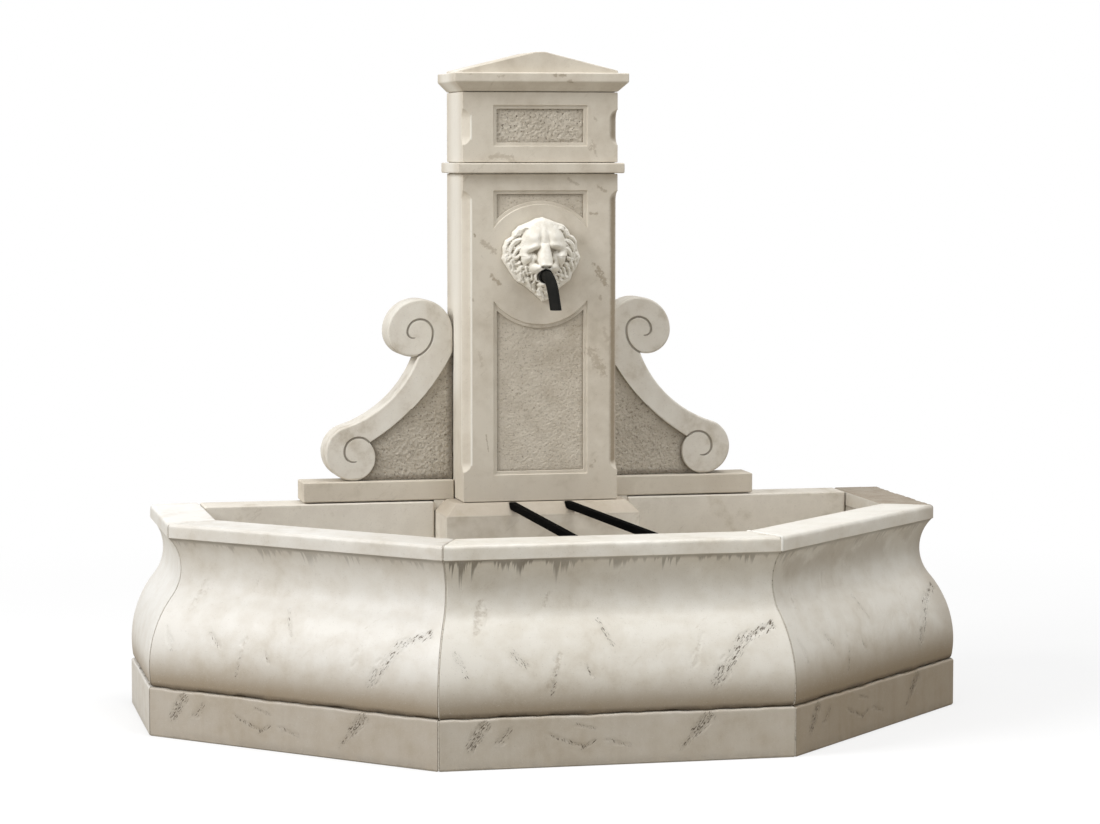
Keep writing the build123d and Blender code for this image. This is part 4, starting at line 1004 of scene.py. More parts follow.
class Finishes:
    """Every finish of the fountain, made once."""

    def __init__(self) -> None:
        """Builds the materials."""
        rough = {"light": (0.63, 0.575, 0.485), "body": (0.55, 0.495, 0.41), "patina": (0.44, 0.385, 0.305)}
        self.stone = CastStone("cast_stone", (0.76, 0.72, 0.645), (0.695, 0.65, 0.572)).material()
        self.pillar = CastStone("pillar_stone", grime_and_shade=GrimeAndShade.PILLAR, marks=self.pillar_marks(), rubbed_and_highlit=self.pillar_edge_highlights()).material()
        self.pedestal = CastStone("pedestal_stone", (0.68, 0.635, 0.555), (0.61, 0.56, 0.48), grime_and_shade=GrimeAndShade.PEDESTAL).material()
        self.scroll = CastStone("scroll_stone", (0.75, 0.72, 0.652), (0.69, 0.65, 0.578), grime_and_shade=GrimeAndShade.PILLAR, shaded_creases=0.62).material()
        self.tooled = CastStone("tooled_stone", coarse=0.0016, holed=0.34, shaded_creases=0.46, **rough).material()
        self.pitted = CastStone("pitted_stone", coarse=0.0022, holed=0.80, shaded_creases=0.40, **rough).material()
        # A darker copy of the tooled stone for the brackets' sunk fields: painted shade.
        shaded = {name: tuple(0.84 * part for part in colour) for name, colour in rough.items()}
        self.scroll_ground = CastStone("scroll_ground_stone", coarse=0.0022, shaded_creases=0.62, **shaded).material()
        self.cream = CreamStone("cream_stone").material()
        self.filler = Coated("white_filler", (0.80, 0.785, 0.74), (0.66, 0.63, 0.57), 0.0, 0.6, 300.0, 0.0003).material()
        self.iron = Coated(
            "black_iron", (0.007, 0.007, 0.006), (0.014, 0.013, 0.011), 0.0, 0.62, 500.0, 0.0002, gloss=0.06
        ).material()
        self.bar = Coated("dull_black", (0.0018,) * 3, (0.005, 0.0045, 0.004), 0.0, 0.75, 500.0, 0.0002, gloss=0.01).material()
        self.by_slot = {
            "cast_stone": self.stone,
            "mask_stone": self.cream,
            "mortar": CastStone(
                "raked_mortar", (0.62, 0.58, 0.51), (0.52, 0.48, 0.41), (0.40, 0.36, 0.30), coarse=0.002
            ).material(),
            "black_iron": self.iron,
            "stainless": Coated("stainless", (0.52, 0.52, 0.52), (0.36, 0.36, 0.36), 1.0, 0.32, 900.0).material(),
            "grey_plastic": Coated("grey_pipe", (0.115, 0.120, 0.128), (0.17, 0.17, 0.175), 0.0, 0.5).material(),
            "brass": Coated("cast_brass", (0.52, 0.34, 0.11), (0.22, 0.13, 0.05), 1.0, 0.36, 700.0).material(),
            "chrome_ball": Coated("polished_ball", (0.70, 0.70, 0.71), (0.60, 0.60, 0.61), 1.0, 0.12).material(),
            "lever_paint": Coated("lever_paint", (0.30, 0.018, 0.014), (0.16, 0.02, 0.018), 0.0, 0.4, coat=0.3).material(),
            "pump_plastic": Coated("pump_plastic", (0.018, 0.018, 0.019), (0.05, 0.05, 0.05), 0.0, 0.55, 900.0).material(),
            "rubber": Coated("matt_rubber", (0.015, 0.015, 0.015), (0.05, 0.05, 0.048), 0.0, 0.8).material(),
            "shaft_ceramic": Coated("ground_ceramic", (0.70, 0.69, 0.66), (0.60, 0.59, 0.56), 0.0, 0.3).material(),
        }

    @staticmethod
    def pillar_marks() -> tuple[Mark, ...]:
        """Scrapes on the front of the pillar, and darker strips down its chamfers.

        Returns:
            The scrapes.
        """
        spots = (
            (-219, 1413, -214, 1402, 5, 0.55), (-193, 1346, -190, 1340, 4, 0.72), (-169, 1322, -134, 1299, 9, 0.42),
            (-143, 1228, -120, 1206, 8, 0.58), (-204, 1166, -198, 1160, 5, 0.45), (80, 1502, 109, 1484, 6, 0.35),
            (167, 1481, 189, 1467, 6, 0.45), (145, 1403, 163, 1403, 5, 0.50), (166, 1248, 189, 1203, 11, 0.58),
            (152, 1262, 158, 1259, 4, 0.60), (174, 1168, 176, 1158, 5, 0.40), (148, 1010, 184, 950, 17, 0.40),
            (-222, 927, -216, 918, 6, 0.45), (-159, 775, -152, 726, 2.5, 0.55), (145, 679, 160, 693, 6, 0.40),
            (-126, 1571, -73, 1551, 7, 0.26), (152, 1606, 160, 1574, 7, 0.36), (157, 1675, 162, 1668, 5, 0.36),
            (-40, 1075, 40, 1073, 13, 0.30), (185, 1075, 196, 1040, 7, 0.22), (-178, 1010, -172, 975, 6, 0.22),
            (-147, 1565, -84, 1567, 7, 0.34), (-41, 1678, -30, 1660, 10, 0.22), (151, 1598, 147, 1588, 7, 0.42),
        )
        chips = (
            (-209, 1796, -203, 1797, 4, 0.45), (-126, 1789, -114, 1793, 6, 0.40), (33, 1795, 66, 1795, 5, 0.55),
            (76, 1778, 84, 1774, 5, 0.42), (-62, 1825, -58, 1822, 4, 0.35), (10, 1815, 46, 1816, 5, 0.30),
        )
        # Darker strips down the chamfers: brown staining and painted shade on the right, painted shade on the left.
        shade = ((214, 700, 214, 1440, 20, 0.78), (214, 1622, 214, 1678, 20, 0.70), (-214, 700, -214, 1440, 15, 0.09))
        groups = ((0.357, 5.0, spots), (0.330, 5.0, chips), (0.370, 0.6, shade))
        return tuple(
            Mark((a / 1000, face, b / 1000), (c / 1000, face, d / 1000), wide / 1000, strength, torn)
            for face, torn, group in groups for a, b, c, d, wide, strength in group
        )

    @staticmethod
    def pillar_edge_highlights() -> tuple[Mark, ...]:
        """Painted highlights: light lines along the edges of the pillar's left chamfers, partly worn clean, and a wide
        painted highlight over its left side.

        Returns:
            The edges.
        """
        edges = tuple(
            Mark((x, y, low), (x, y, high), 0.0045, 0.75, 0.8)
            for x, y in ((-0.201, 0.357), (-0.227, 0.383)) for low, high in ((0.690, 1.445), (1.615, 1.680))
        )
        # A wide painted highlight down the pillar's left side.
        return edges + (Mark((-0.245, 0.475, 0.95), (-0.245, 0.475, 1.80), 0.120, 0.62, 0.5),)

    def panel(self, name: str, turn: float) -> bpy.types.Material:
        """Stone of one basin panel, whose marks turn with it.

        Args:
            name: The panel's name.
            turn: Angle in degrees that it was turned by.

        Returns:
            The material.
        """
        bright = {"light": (0.765, 0.737, 0.672), "body": (0.70, 0.662, 0.585), "patina": (0.57, 0.517, 0.43)}
        wet = {"front_panel": -0.29, "left_front_panel": -0.16, "right_front_panel": -0.38}.get(name, 0.0)
        # Right-hand panels: more staining and painted shade.
        damp_and_shade = {"front_panel": 0.2, "right_front_panel": 0.8, "right_side_panel": 1.0}.get(name, 0.0)
        foot_grime_and_shade = {"front_panel": 0.42, "left_side_panel": 0.2, "right_front_panel": 0.80}.get(name, 0.5)
        flecked = {"left_front_panel": 0.74, "right_front_panel": 0.74}.get(name, 1.0)
        # Panels that face different ways get lighter and darker copies of the stone as painted light and shade: the
        # left side panel lighter, the left front and right front panels darker.
        if name == "right_front_panel":
            bright = {"light": (0.742, 0.714, 0.648), "body": (0.677, 0.638, 0.562), "patina": (0.55, 0.498, 0.414)}
        elif name == "left_front_panel":
            bright = {"light": (0.70, 0.678, 0.632), "body": (0.64, 0.607, 0.549), "patina": (0.53, 0.485, 0.41)}
        elif name == "left_side_panel":
            bright = {"light": (0.80, 0.785, 0.745), "body": (0.75, 0.725, 0.675), "patina": (0.62, 0.575, 0.50)}
        worn_top = (
            Mark((1.036, 0.500, 0.575), (1.060, 0.470, 0.575), 0.020, 0.45),
            Mark((1.064, 0.390, 0.575), (1.052, 0.235, 0.575), 0.024, 0.40),
        )
        right_side = name == "right_side_panel"
        # Painted highlight along the right front panel's rim top.
        rim_top_highlight = (Mark((-0.42, -0.47, 0.575), (0.42, -0.47, 0.575), 0.11, 0.40, 0.3),)
        return CastStone(
            name + "_stone", grime_and_shade=GrimeAndShade.PANEL, rough=0.82 if right_side else 0.54, turn=turn, wet=wet, damp_and_shade=damp_and_shade, dusty=0.95 * right_side,
            foot_grime_and_shade=foot_grime_and_shade, flecked=flecked, runny=1.0 if name == "front_panel" else 0.5, marks=worn_top if right_side else (),
            rubbed_and_highlit=rim_top_highlight if name == "right_front_panel" else (),
            stain_and_shade=(0.20, 0.15, 0.095) if right_side else CastStone.stain_and_shade, **bright,
        ).material()


def hand_over(
    obj: bpy.types.Object, material: bpy.types.Material, slot: str, *nodes: str, angle: float = 38.0,
    flat: bool = False,
) -> None:
    """Dresses a finished piece and lets it ride on the fountain.

    Args:
        obj: The piece.
        material: Its finish.
        slot: The record's slot that the finish belongs to; not used.
        *nodes: The frame's nodes that it stands for.
        angle: Edges flatter than this many degrees are shaded smooth.
        flat: Whether large faces keep their own normals next to rounded edges.
    """
    make_active(obj)
    bpy.ops.object.shade_smooth_by_angle(angle=math.radians(angle))
    if flat:
        modify(obj, "WEIGHTED_NORMAL", keep_sharp=True)
    obj.data.materials.clear()
    obj.data.materials.append(material)
    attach(obj, BODY)
    if nodes:
        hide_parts(*nodes)
    faces = sum(len(p.vertices) - 2 for p in obj.data.polygons)
    LOG.info("%s: %d triangles", obj.name, faces)


# Basin


class Octagon:
    """Plan that the basin is laid out on."""

    APOTHEM = 1.15
    CENTRE_Y = 0.55
    HALF_TURN = 22.5


@dataclass(frozen=True)
class Gouge:
    """A slanting pit in a panel's face.

    Attributes:
        x: Place along the panel.
        z: Height of its middle.
        length: Length.
        slant: Angle from level, in degrees.
        width: Width across.
        depth: Depth at its middle.
    """

    x: float
    z: float
    length: float
    slant: float
    width: float
    depth: float

    def share(self, x: np.ndarray, z: np.ndarray) -> np.ndarray:
        """How deep each point lies in the pit.

        Args:
            x: Points' places along the panel.
            z: Their heights.

        Returns:
            Shares from 0 outside to 1 at the bottom.
        """
        angle = math.radians(self.slant)
        along = (x - self.x) * math.cos(angle) + (z - self.z) * math.sin(angle)
        across = (z - self.z) * math.cos(angle) - (x - self.x) * math.sin(angle)
        reach = np.hypot(np.maximum(np.abs(along) - self.length / 2, 0.0), across) / self.width
        return np.clip(1.0 - reach, 0.0, 1.0) ** 1.5


@dataclass(frozen=True)
class Scratch:
    """A bundle of scratches along a line.

    Attributes:
        start: One end, along the panel and in height.
        end: The other end.
        spread: How far the scratches stray from the line.
        count: How many pits it has.
        strength: How strongly it shows.
        soft: Whether it is a brown smear rather than dark flecks.
    """

    start: Point2
    end: Point2
    spread: float
    count: int
    strength: float
    soft: bool = False

    def layer(self) -> str:
        """Name of the attribute for smears, or for scratches that lean this way."""
        if self.soft:
            return "smear"
        rise = (self.end[1] - self.start[1]) * (self.end[0] - self.start[0])
        return "wear" if rise > 0 else "wear_left"

    def pits(self, dice: random.Random) -> list[Gouge]:
        """Pits that lie along the bundle.

        Args:
            dice: Seeded source of chance.

        Returns:
            The pits.
        """
        way = Vector(self.end) - Vector(self.start)
        slant = math.degrees(math.atan2(way.y, way.x))
        right = Vector((way.y, -way.x)).normalized()
        found = []
        for _ in range(self.count):
            spot = Vector(self.start) + way * dice.random() + right * dice.gauss(0.0, self.spread * 0.6)
            found.append(Gouge(
                spot.x, spot.y, dice.uniform(0.006, 0.024), slant + dice.gauss(0.0, 12.0),
                dice.uniform(0.0045, 0.0070), dice.uniform(0.0010, 0.0024) * self.strength,
            ))
        return found

    def share(self, x: np.ndarray, z: np.ndarray) -> np.ndarray:
        """How much of the bundle shows at each point.

        Args:
            x: Points' places along the panel.
            z: Their heights.

        Returns:
            Shares from 0 to 1.
        """
        way = np.array(self.end) - np.array(self.start)
        t = np.clip(((x - self.start[0]) * way[0] + (z - self.start[1]) * way[1]) / float(way @ way), 0.0, 1.0)
        gap = np.hypot(x - self.start[0] - t * way[0], z - self.start[1] - t * way[1])
        return np.exp(-(gap / (self.spread + 0.004)) ** 2) * self.strength


@dataclass
class BasinPanels:
    """The five moulded panels of the basin.

    Attributes:
        front_y: Face of the plinth.
        inner_inset: From that face to the basin's inside.
        plinth: Height of the plinth.
        plinth_edge: Rounding of its upper edge.
        tuck: How far the belly's foot stands back.
        tuck_radius: Rounding of the belly's foot.
        rim_top: Top of the rim.
        rim_face: Height of the rim's face.
        rim_inset: How far the rim's face stands back.
        lip: Rounding of the rim's outer edge.
        inner_lip: Rounding of its inner edge.
        neck_inset: How far the neck stands back.
        neck_drop: Height of the neck's middle under the rim.
        neck_radius: Radius of the neck's hollow.
        belly_inset: How far the belly's fullest line stands back.
        belly_rise: Its height over the plinth.
        joint: Width of the mitre joints.
        arris: Rounding of the mitred edges.
        square_end: Where the side panels stop, from the octagon's centre.
        step: Length of the mesh's cells.
        ripple: How uneven the faces are.
    """

    front_y: float = -0.6
    inner_inset: float = 0.197
    plinth: float = 0.133
    plinth_edge: float = 0.006
    tuck: float = 0.016
    tuck_radius: float = 0.011
    rim_top: float = 0.575
    rim_face: float = 0.040
    rim_inset: float = 0.057
    lip: float = 0.010
    inner_lip: float = 0.005
    neck_inset: float = 0.093
    neck_drop: float = 0.083
    neck_radius: float = 0.120
    belly_inset: float = 0.001
    belly_rise: float = 0.057
    joint: float = 0.003
    arris: float = 0.003
    square_end: float = 0.05
    step: float = 0.0036
    ripple: float = 0.0012

    def profile(self) -> list[Point2]:
        """Section of a panel, from the inside of its foot round the face to the inside of its rim.

        Returns:
            Points on Y and Z.
        """
        face, inner = self.front_y, self.front_y + self.inner_inset
        rim_y, rim_low = face + self.rim_inset, self.rim_top - self.rim_face
        neck_z, belly_z = rim_low - self.neck_drop, self.plinth + self.belly_rise
        throw, rise = self.neck_inset - self.belly_inset, rim_low - self.neck_drop - belly_z
        radii = (throw ** 2 + rise ** 2) / (2 * throw)
        belly_radius = radii - self.neck_radius
        neck = (face + self.neck_inset - self.neck_radius, neck_z)
        belly = (face + self.belly_inset + belly_radius, belly_z)
        share = self.neck_radius / radii
        turning = (neck[0] + (belly[0] - neck[0]) * share, neck[1] + (belly[1] - neck[1]) * share)
        neck_top = (neck[0] + math.sqrt(self.neck_radius ** 2 - self.neck_drop ** 2), rim_low)
        foot_z = self.plinth + self.tuck_radius
        foot = (belly[0] - math.sqrt(belly_radius ** 2 - (belly_z - foot_z) ** 2), foot_z)
        tuck = (face + self.tuck, self.plinth)
        roll = (tuck[0] - self.tuck_radius, foot_z)
        ledge = (face + self.plinth_edge, self.plinth)
        edge_foot = (face, self.plinth - self.plinth_edge)
        lip = (rim_y + self.lip, self.rim_top)
        lip_foot = (rim_y, self.rim_top - self.lip)
        inner_lip = (inner - self.inner_lip, self.rim_top)
        inner_foot = (inner, self.rim_top - self.inner_lip)
        fine = self.lip / 4
        points = [(inner, 0.0), (face + self.arris, 0.0), (face, self.arris)]
        points += line_points((face, self.arris), edge_foot, self.step)
        points += arc_points((ledge[0], edge_foot[1]), edge_foot, ledge, fine)
        points += [tuck]
        points += arc_points((tuck[0], foot_z), tuck, roll, fine)
        points += [foot]
        points += arc_points(belly, foot, turning, self.step)
        points += arc_points(neck, turning, neck_top, self.step)
        points += [(rim_y + self.arris / 2, rim_low), (rim_y, rim_low + self.arris / 2)]
        points += line_points((rim_y, rim_low + self.arris / 2), lip_foot, self.step)
        points += arc_points((lip[0], lip_foot[1]), lip_foot, lip, fine)
        points += line_points(lip, inner_lip, self.step)
        points += arc_points((inner_lip[0], inner_foot[1]), inner_lip, inner_foot, fine)
        points += line_points(inner_foot, (inner, 0.0), 4 * self.step)[:-1]
        return points

    def blank(self, length: float) -> bpy.types.Object:
        """A straight length of the moulding with its ends at -1 and 1 on X.

        Args:
            length: Length that it will have, which sets the number of cells.

        Returns:
            The blank.
        """
        obj = trace_outline("panel_blank", [(-1.0, y, z) for y, z in self.profile()])
        extrude_face(obj, (2.0, 0.0, 0.0))
        quarters = max(1, round(length / self.step / 4))
        with editing(obj):
            for cuts in (1, 1, quarters - 1):
                pick(obj, Pick.EDGE, lambda middle, way: abs(way.x) > 0.99)
                bpy.ops.mesh.subdivide(number_cuts=cuts)
        return obj

    def half_length(self, y: np.ndarray) -> np.ndarray:
        """Distance from a panel's middle to its mitre, at a depth."""
        slope = math.tan(math.radians(Octagon.HALF_TURN))
        return (Octagon.CENTRE_Y - y) * slope - self.joint / 2 / math.cos(math.radians(Octagon.HALF_TURN))

    def scratches(self) -> list[Scratch]:
        """Bundles of scratches, the same on each front panel as they come from one mould.

        Returns:
            The bundles.
        """
        return [
            Scratch((0.262, 0.210), (0.338, 0.312), 0.016, 24, 0.86),
            Scratch((0.334, 0.312), (0.421, 0.345), 0.010, 18, 1.0),
            Scratch((0.255, 0.190), (0.275, 0.235), 0.006, 5, 0.5),
            Scratch((0.190, 0.240), (0.232, 0.330), 0.007, 5, 0.50, True),
            Scratch((-0.044, 0.371), (-0.012, 0.310), 0.003, 6, 0.70),
            Scratch((-0.277, 0.296), (-0.246, 0.264), 0.007, 9, 0.75),
            Scratch((-0.190, 0.207), (-0.152, 0.288), 0.009, 9, 0.70, True),
            Scratch((-0.084, 0.258), (-0.068, 0.228), 0.002, 5, 0.70),
            Scratch((-0.365, 0.368), (-0.346, 0.424), 0.007, 6, 0.75, True),
            Scratch((-0.372, 0.345), (-0.335, 0.405), 0.011, 6, 0.55, True),
            Scratch((-0.425, 0.298), (-0.402, 0.242), 0.008, 8, 0.60),
            Scratch((-0.180, 0.408), (-0.168, 0.440), 0.005, 3, 0.60, True),
            Scratch((-0.178, 0.190), (-0.164, 0.250), 0.003, 5, 0.85),
            Scratch((-0.392, 0.060), (-0.354, 0.116), 0.012, 14, 1.0),
            Scratch((-0.322, 0.066), (-0.288, 0.098), 0.010, 9, 0.60),
            Scratch((-0.177, 0.081), (-0.092, 0.050), 0.003, 8, 0.75),
            Scratch((-0.100, 0.045), (-0.064, 0.066), 0.004, 4, 0.65),
            Scratch((-0.112, 0.109), (-0.066, 0.096), 0.002, 4, 0.75),
            Scratch((-0.032, 0.065), (0.029, 0.050), 0.003, 6, 0.70),
            Scratch((0.166, 0.036), (0.212, 0.086), 0.008, 8, 0.55),
            Scratch((0.205, 0.080), (0.243, 0.122), 0.013, 13, 1.0),
        ]

    def gouges(self) -> list[Gouge]:
        """Single pits of all the bundles.

        Returns:
            The pits.
        """
        dice = random.Random(11)
        return [pit for bundle in self.scratches() for pit in bundle.pits(dice)]

    def weather(self, obj: bpy.types.Object, marked: bool, phase: float) -> None:
        """Makes the faces and edges slightly uneven and sinks the pits.

        Args:
            obj: The panel before it is turned.
            marked: Whether it has the mould's pits.
            phase: Shifts the unevenness of the edges from panel to panel.
        """
        points = mesh_points(obj)
        normals = np.zeros(len(points) * 3, np.float32)
        obj.data.vertices.foreach_get("normal", normals)
        normals = normals.reshape(-1, 3)
        x, y, z = points.T
        outer = (y < self.front_y + self.neck_inset + 0.02) & (z > self.arris)
        sink = np.zeros(len(points))
        worn = {name: np.zeros(len(points)) for name in ("wear", "wear_left", "smear")}
        if marked:
            for pit in self.gouges():
                sink = np.maximum(sink, pit.share(x, z) * pit.depth)
            for bundle in self.scratches():
                layer = worn[bundle.layer()]
                np.maximum(layer, bundle.share(x, z), out=layer)
        face = outer & (z < self.rim_top - self.rim_face)
        sink *= face
        edge = np.exp(-((z - self.rim_top) / 0.014) ** 2 - ((y - self.front_y - self.rim_inset) / 0.014) ** 2)
        chips = np.clip(np.sin(x * 57.0 + phase) + np.sin(x * 23.0 + 2 * phase) + np.sin(x * 131.0), -1.0, 3.0)
        sink += 0.0007 * (1.0 + chips) * edge
        sway = np.sin(x * 19.0 + phase) + 0.8 * np.sin(x * 43.0 + 2.0) + 0.6 * np.sin(x * 97.0 + phase)
        points[:, 2] += 0.0009 * sway * np.exp(-((z - self.plinth) / 0.012) ** 2) * outer
        wave = np.sin(x * 9.1 + z * 6.0) * np.sin(z * 13.0 - x * 3.7) + np.sin(x * 23.0 + 1.3) * np.sin(z * 31.0)
        ripple = self.ripple * (2.0 + wave) / 4 * outer * (z > self.arris)
        set_points(obj, points - normals * (sink + ripple)[:, None])
        for name, share in worn.items():
            layer = obj.data.attributes.new(name, "FLOAT", "POINT")
            layer.data.foreach_set("value", np.clip(share * face, 0.0, 1.0).astype(np.float32))

    def panel(self, blank: bpy.types.Object, name: str, turn: float, square: int, marked: bool) -> bpy.types.Object:
        """One panel cut to length, weathered and turned into place.

        Args:
            blank: The straight moulding.
            name: The panel's name.
            turn: Angle in degrees about the octagon's centre.
            square: Which end is cut square, -1 or 1, or 0 for neither.
            marked: Whether it has the mould's pits.

        Returns:
            The panel.
        """
        obj = duplicate(blank, name)
        points = mesh_points(obj)
        half = self.half_length(points[:, 1])
        low = np.full_like(half, -self.square_end) if square < 0 else -half
        high = np.full_like(half, self.square_end) if square > 0 else half
        points[:, 0] = low + (points[:, 0] + 1) / 2 * (high - low)
        set_points(obj, points)
        with editing(obj):
            pick(obj, Pick.FACE, lambda middle, normal: abs(normal.x) > 0.5)
            bpy.ops.mesh.region_to_loop()
            bpy.ops.mesh.bevel(offset=self.arris, segments=3, affect="EDGES")
        self.weather(obj, marked, math.radians(turn))
        centre = Vector((0.0, Octagon.CENTRE_Y, 0.0))
        turned = Matrix.Rotation(math.radians(turn), 4, "Z")
        return place(obj, Matrix.Translation(centre) @ turned @ Matrix.Translation(-centre))

    def build(self, finishes: Finishes) -> None:
        """Makes the panels and dresses them.

        Args:
            finishes: The fountain's finishes.
        """
        long_blank = self.blank(2 * float(self.half_length(np.array(self.front_y))))
        short_blank = self.blank(self.square_end + float(self.half_length(np.array(self.front_y))))
        full = 2 * Octagon.HALF_TURN
        plan = [
            ("front_panel", long_blank, 0.0, 0, True),
            ("left_front_panel", long_blank, -full, 0, True),
            ("right_front_panel", long_blank, full, 0, True),
            ("left_side_panel", short_blank, -2 * full, -1, False),
            ("right_side_panel", short_blank, 2 * full, 1, False),
        ]
        for node, blank, turn, square, marked in plan:
            obj = self.panel(blank, "moulded_" + node, turn, square, marked)
            hand_over(obj, finishes.panel(node, turn), "cast_stone", node)
        for blank in (long_blank, short_blank):
            bpy.data.objects.remove(blank)
        self.bead(finishes)

    def bead(self, finishes: Finishes) -> None:
        """Squeezes a bead of white filler over the right-hand mitre of the rim."""
        slope = math.tan(math.radians(Octagon.HALF_TURN))
        top, low = self.rim_top, self.rim_top - self.rim_face
        rim_y, inner_y = self.front_y + self.rim_inset, self.front_y + self.inner_inset
        spots = [(inner_y - 0.004, top), (inner_y - 0.05, top + 0.001), (rim_y + 0.06, top), (rim_y + 0.004, top)]
        spots += [(rim_y + 0.001, top - 0.004), (rim_y + 0.0005, top - 0.018), (rim_y + 0.001, low + 0.003)]
        line = [((Octagon.CENTRE_Y - y) * slope, y, z) for y, z in spots]
        obj = add_tube("rim_bead", line, 0.0032)
        hand_over(obj, finishes.filler, "mortar", angle=60.0)


@dataclass
class PedestalBlock:
    """Block under the pillar, eased from the frame's own solid.

    Attributes:
        edge: Rounding of its edges.
        corner: Mortar over its side chamfers: outer and inner end, bottom and top.
        corner_y: Face of that mortar.
        corner_depth: Its depth.
    """

    edge: float = 0.003
    corner: tuple[float, float, float, float] = (0.2865, 0.2535, 0.5465, 0.5785)
    corner_y: float = 0.487
    corner_depth: float = 0.110

    def build(self, finishes: Finishes) -> None:
        """Copies the solid, merges its triangles, rounds its edges and fills the corners over its chamfers."""
        obj = duplicate(frame["nodes"]["pedestal"], "pedestal_block")
        ease_edges(obj, self.edge, 2, 32.0)
        hand_over(obj, finishes.pedestal, "cast_stone", "pedestal", flat=True)
        outer, inner, low, high = self.corner
        for name, side in (("left", -1), ("right", 1)):
            wedge = [(side * x, self.corner_y, z) for x, z in ((outer, low), (outer, high), (inner, high))]
            obj = extrude_face(trace_outline(f"{name}_corner_mortar", wedge), (0.0, self.corner_depth, 0.0))
            hand_over(obj, finishes.stone, "mortar")


@dataclass
class BackPanels:
    """Plain panels along the wall, left and right of the pedestal.

    Attributes:
        near: From the middle to the end by the pedestal.
        far: From the middle to the end by the side panel.
        face_y: Face towards the water.
        back_y: Face towards the wall.
        top: Height.
        edge: Rounding of the edges.
    """

    near: float = 0.287
    far: float = 0.949
    face_y: float = 0.480
    back_y: float = 0.600
    top: float = 0.575
    edge: float = 0.005

    def build(self, finishes: Finishes) -> None:
        """Makes both panels and dresses them."""
        for name, side in (("left", -1), ("right", 1)):
            low_x, high_x = sorted((side * self.near, side * self.far))
            obj = add_block(f"{name}_wall_panel", (low_x, self.face_y, 0.0), (high_x, self.back_y, self.top))
            ease_edges(obj, self.edge, 3)
            hand_over(obj, finishes.stone, "cast_stone", f"{name}_back_panel", flat=True)


@dataclass
class BucketBars:
    """Two square bars across the basin to stand a bucket on.

    Attributes:
        side: Width of a bar.
        rear_y: Face of the pedestal.
        front_y: Inner face of the front panel.
        rear_top: Top of the bars at the pedestal.
        front_top: Top of the bars at the front panel.
        bite: How far they are let into the stone.
        ends: Places of each bar on X, at the pedestal and at the front.
    """

    side: float = 0.020
    rear_y: float = 0.313
    front_y: float = -0.403
    rear_top: float = 0.582
    front_top: float = 0.566
    bite: float = 0.036
    ends: dict[str, Point2] = field(default_factory=lambda: {"left": (-0.083, -0.0575), "right": (0.082, 0.168)})

    def build(self, finishes: Finishes) -> None:
        """Makes both bars and dresses them."""
        half = self.side / 2
        for name, (rear_x, front_x) in self.ends.items():
            rear = Vector((rear_x, self.rear_y, self.rear_top - half))
            front = Vector((front_x, self.front_y, self.front_top - half))
            way = (front - rear).normalized()
            start, end = rear - way * self.bite, front + way * self.bite
            length = (end - start).length
            obj = add_block(f"{name}_bar", (-half, -half, 0.0), (half, half, length))
            ease_edges(obj, 0.0018, 2)
            across = Vector((1.0, 0.0, 0.0))
            up = way.cross(across).normalized()
            across = up.cross(way).normalized()
            turn = Matrix((across, up, way)).transposed().to_4x4()
            place(obj, Matrix.Translation(start) @ turn)
            hand_over(obj, finishes.bar, "black_iron", f"{name}_bucket_bar")


# Pillar


@dataclass
class RoughField:
    """Tooled ground of a sunk panel.

    Attributes:
        cell: Length of the mesh's cells.
        relief: Height of the tooling.
        grain: Size of its lumps.
        skin: How far it stands off the sunk ground at most.
        tuck: How far its edge is hidden.
        seam: How far painted shade and grime spread from that edge.
    """

    cell: float = 0.0026
    relief: float = 0.0052
    grain: float = 0.0078
    skin: float = 0.0030
    tuck: float = 0.001
    seam: float = 0.010

    def sheet(
        self, name: str, x_span: Point2, z_span: Point2, ground_y: float, keep: Callable[[float, float], bool]
    ) -> bpy.types.Object:
        """A tooled sheet that lies on a sunk ground and faces the front.

        Args:
            name: The object's name.
            x_span: Its left and right ends.
            z_span: Its lower and upper ends.
            ground_y: The sunk ground.
            keep: Tells from x and z whether a cell is kept.

        Returns:
            The sheet.
        """
        deselect_all()
        width, height = x_span[1] - x_span[0], z_span[1] - z_span[0]
        middle = (sum(x_span) / 2, ground_y - self.skin, sum(z_span) / 2)
        bpy.ops.mesh.primitive_grid_add(
            x_subdivisions=round(width / self.cell), y_subdivisions=round(height / self.cell), size=1,
            location=middle, rotation=(math.radians(90), 0.0, 0.0),
        )
        bpy.ops.transform.resize(value=(width, 1.0, height), center_override=middle)
        obj = named(name)
        with editing(obj):
            pick(obj, Pick.FACE, lambda centre, normal: not keep(centre.x, centre.z))
            bpy.ops.mesh.delete(type="FACE")
        self.mark_edges(obj)
        for size, share in ((self.grain, 1.0), (self.grain * 0.5, 0.6)):
            texture = bpy.data.textures.new(name, "CLOUDS")
            texture.noise_scale = size
            texture.noise_depth = 2
            modify(
                obj, "DISPLACE", texture=texture, texture_coords="LOCAL", mid_level=0.62,
                strength=self.relief * share,
            )
        modify(obj, "SOLIDIFY", thickness=self.skin + self.relief, offset=-1.0)
        return obj

    def mark_edges(self, obj: bpy.types.Object) -> None:
        """Writes how near each point of a sheet is to the sheet's edge, for painted shade and grime along it."""
        sheet = bmesh.new()
        sheet.from_mesh(obj.data)
        rim = [v.co for v in sheet.verts if v.is_boundary]
        tree = KDTree(len(rim))
        for index, spot in enumerate(rim):
            tree.insert(spot, index)
        tree.balance()
        share = [1.0 - (tree.find(v.co)[2] - self.tuck) / self.seam for v in sheet.verts]
        sheet.free()
        layer = obj.data.attributes.new("crease_shade", "FLOAT", "POINT")
        layer.data.foreach_set("value", np.clip(share, 0.0, 1.0).astype(np.float32))


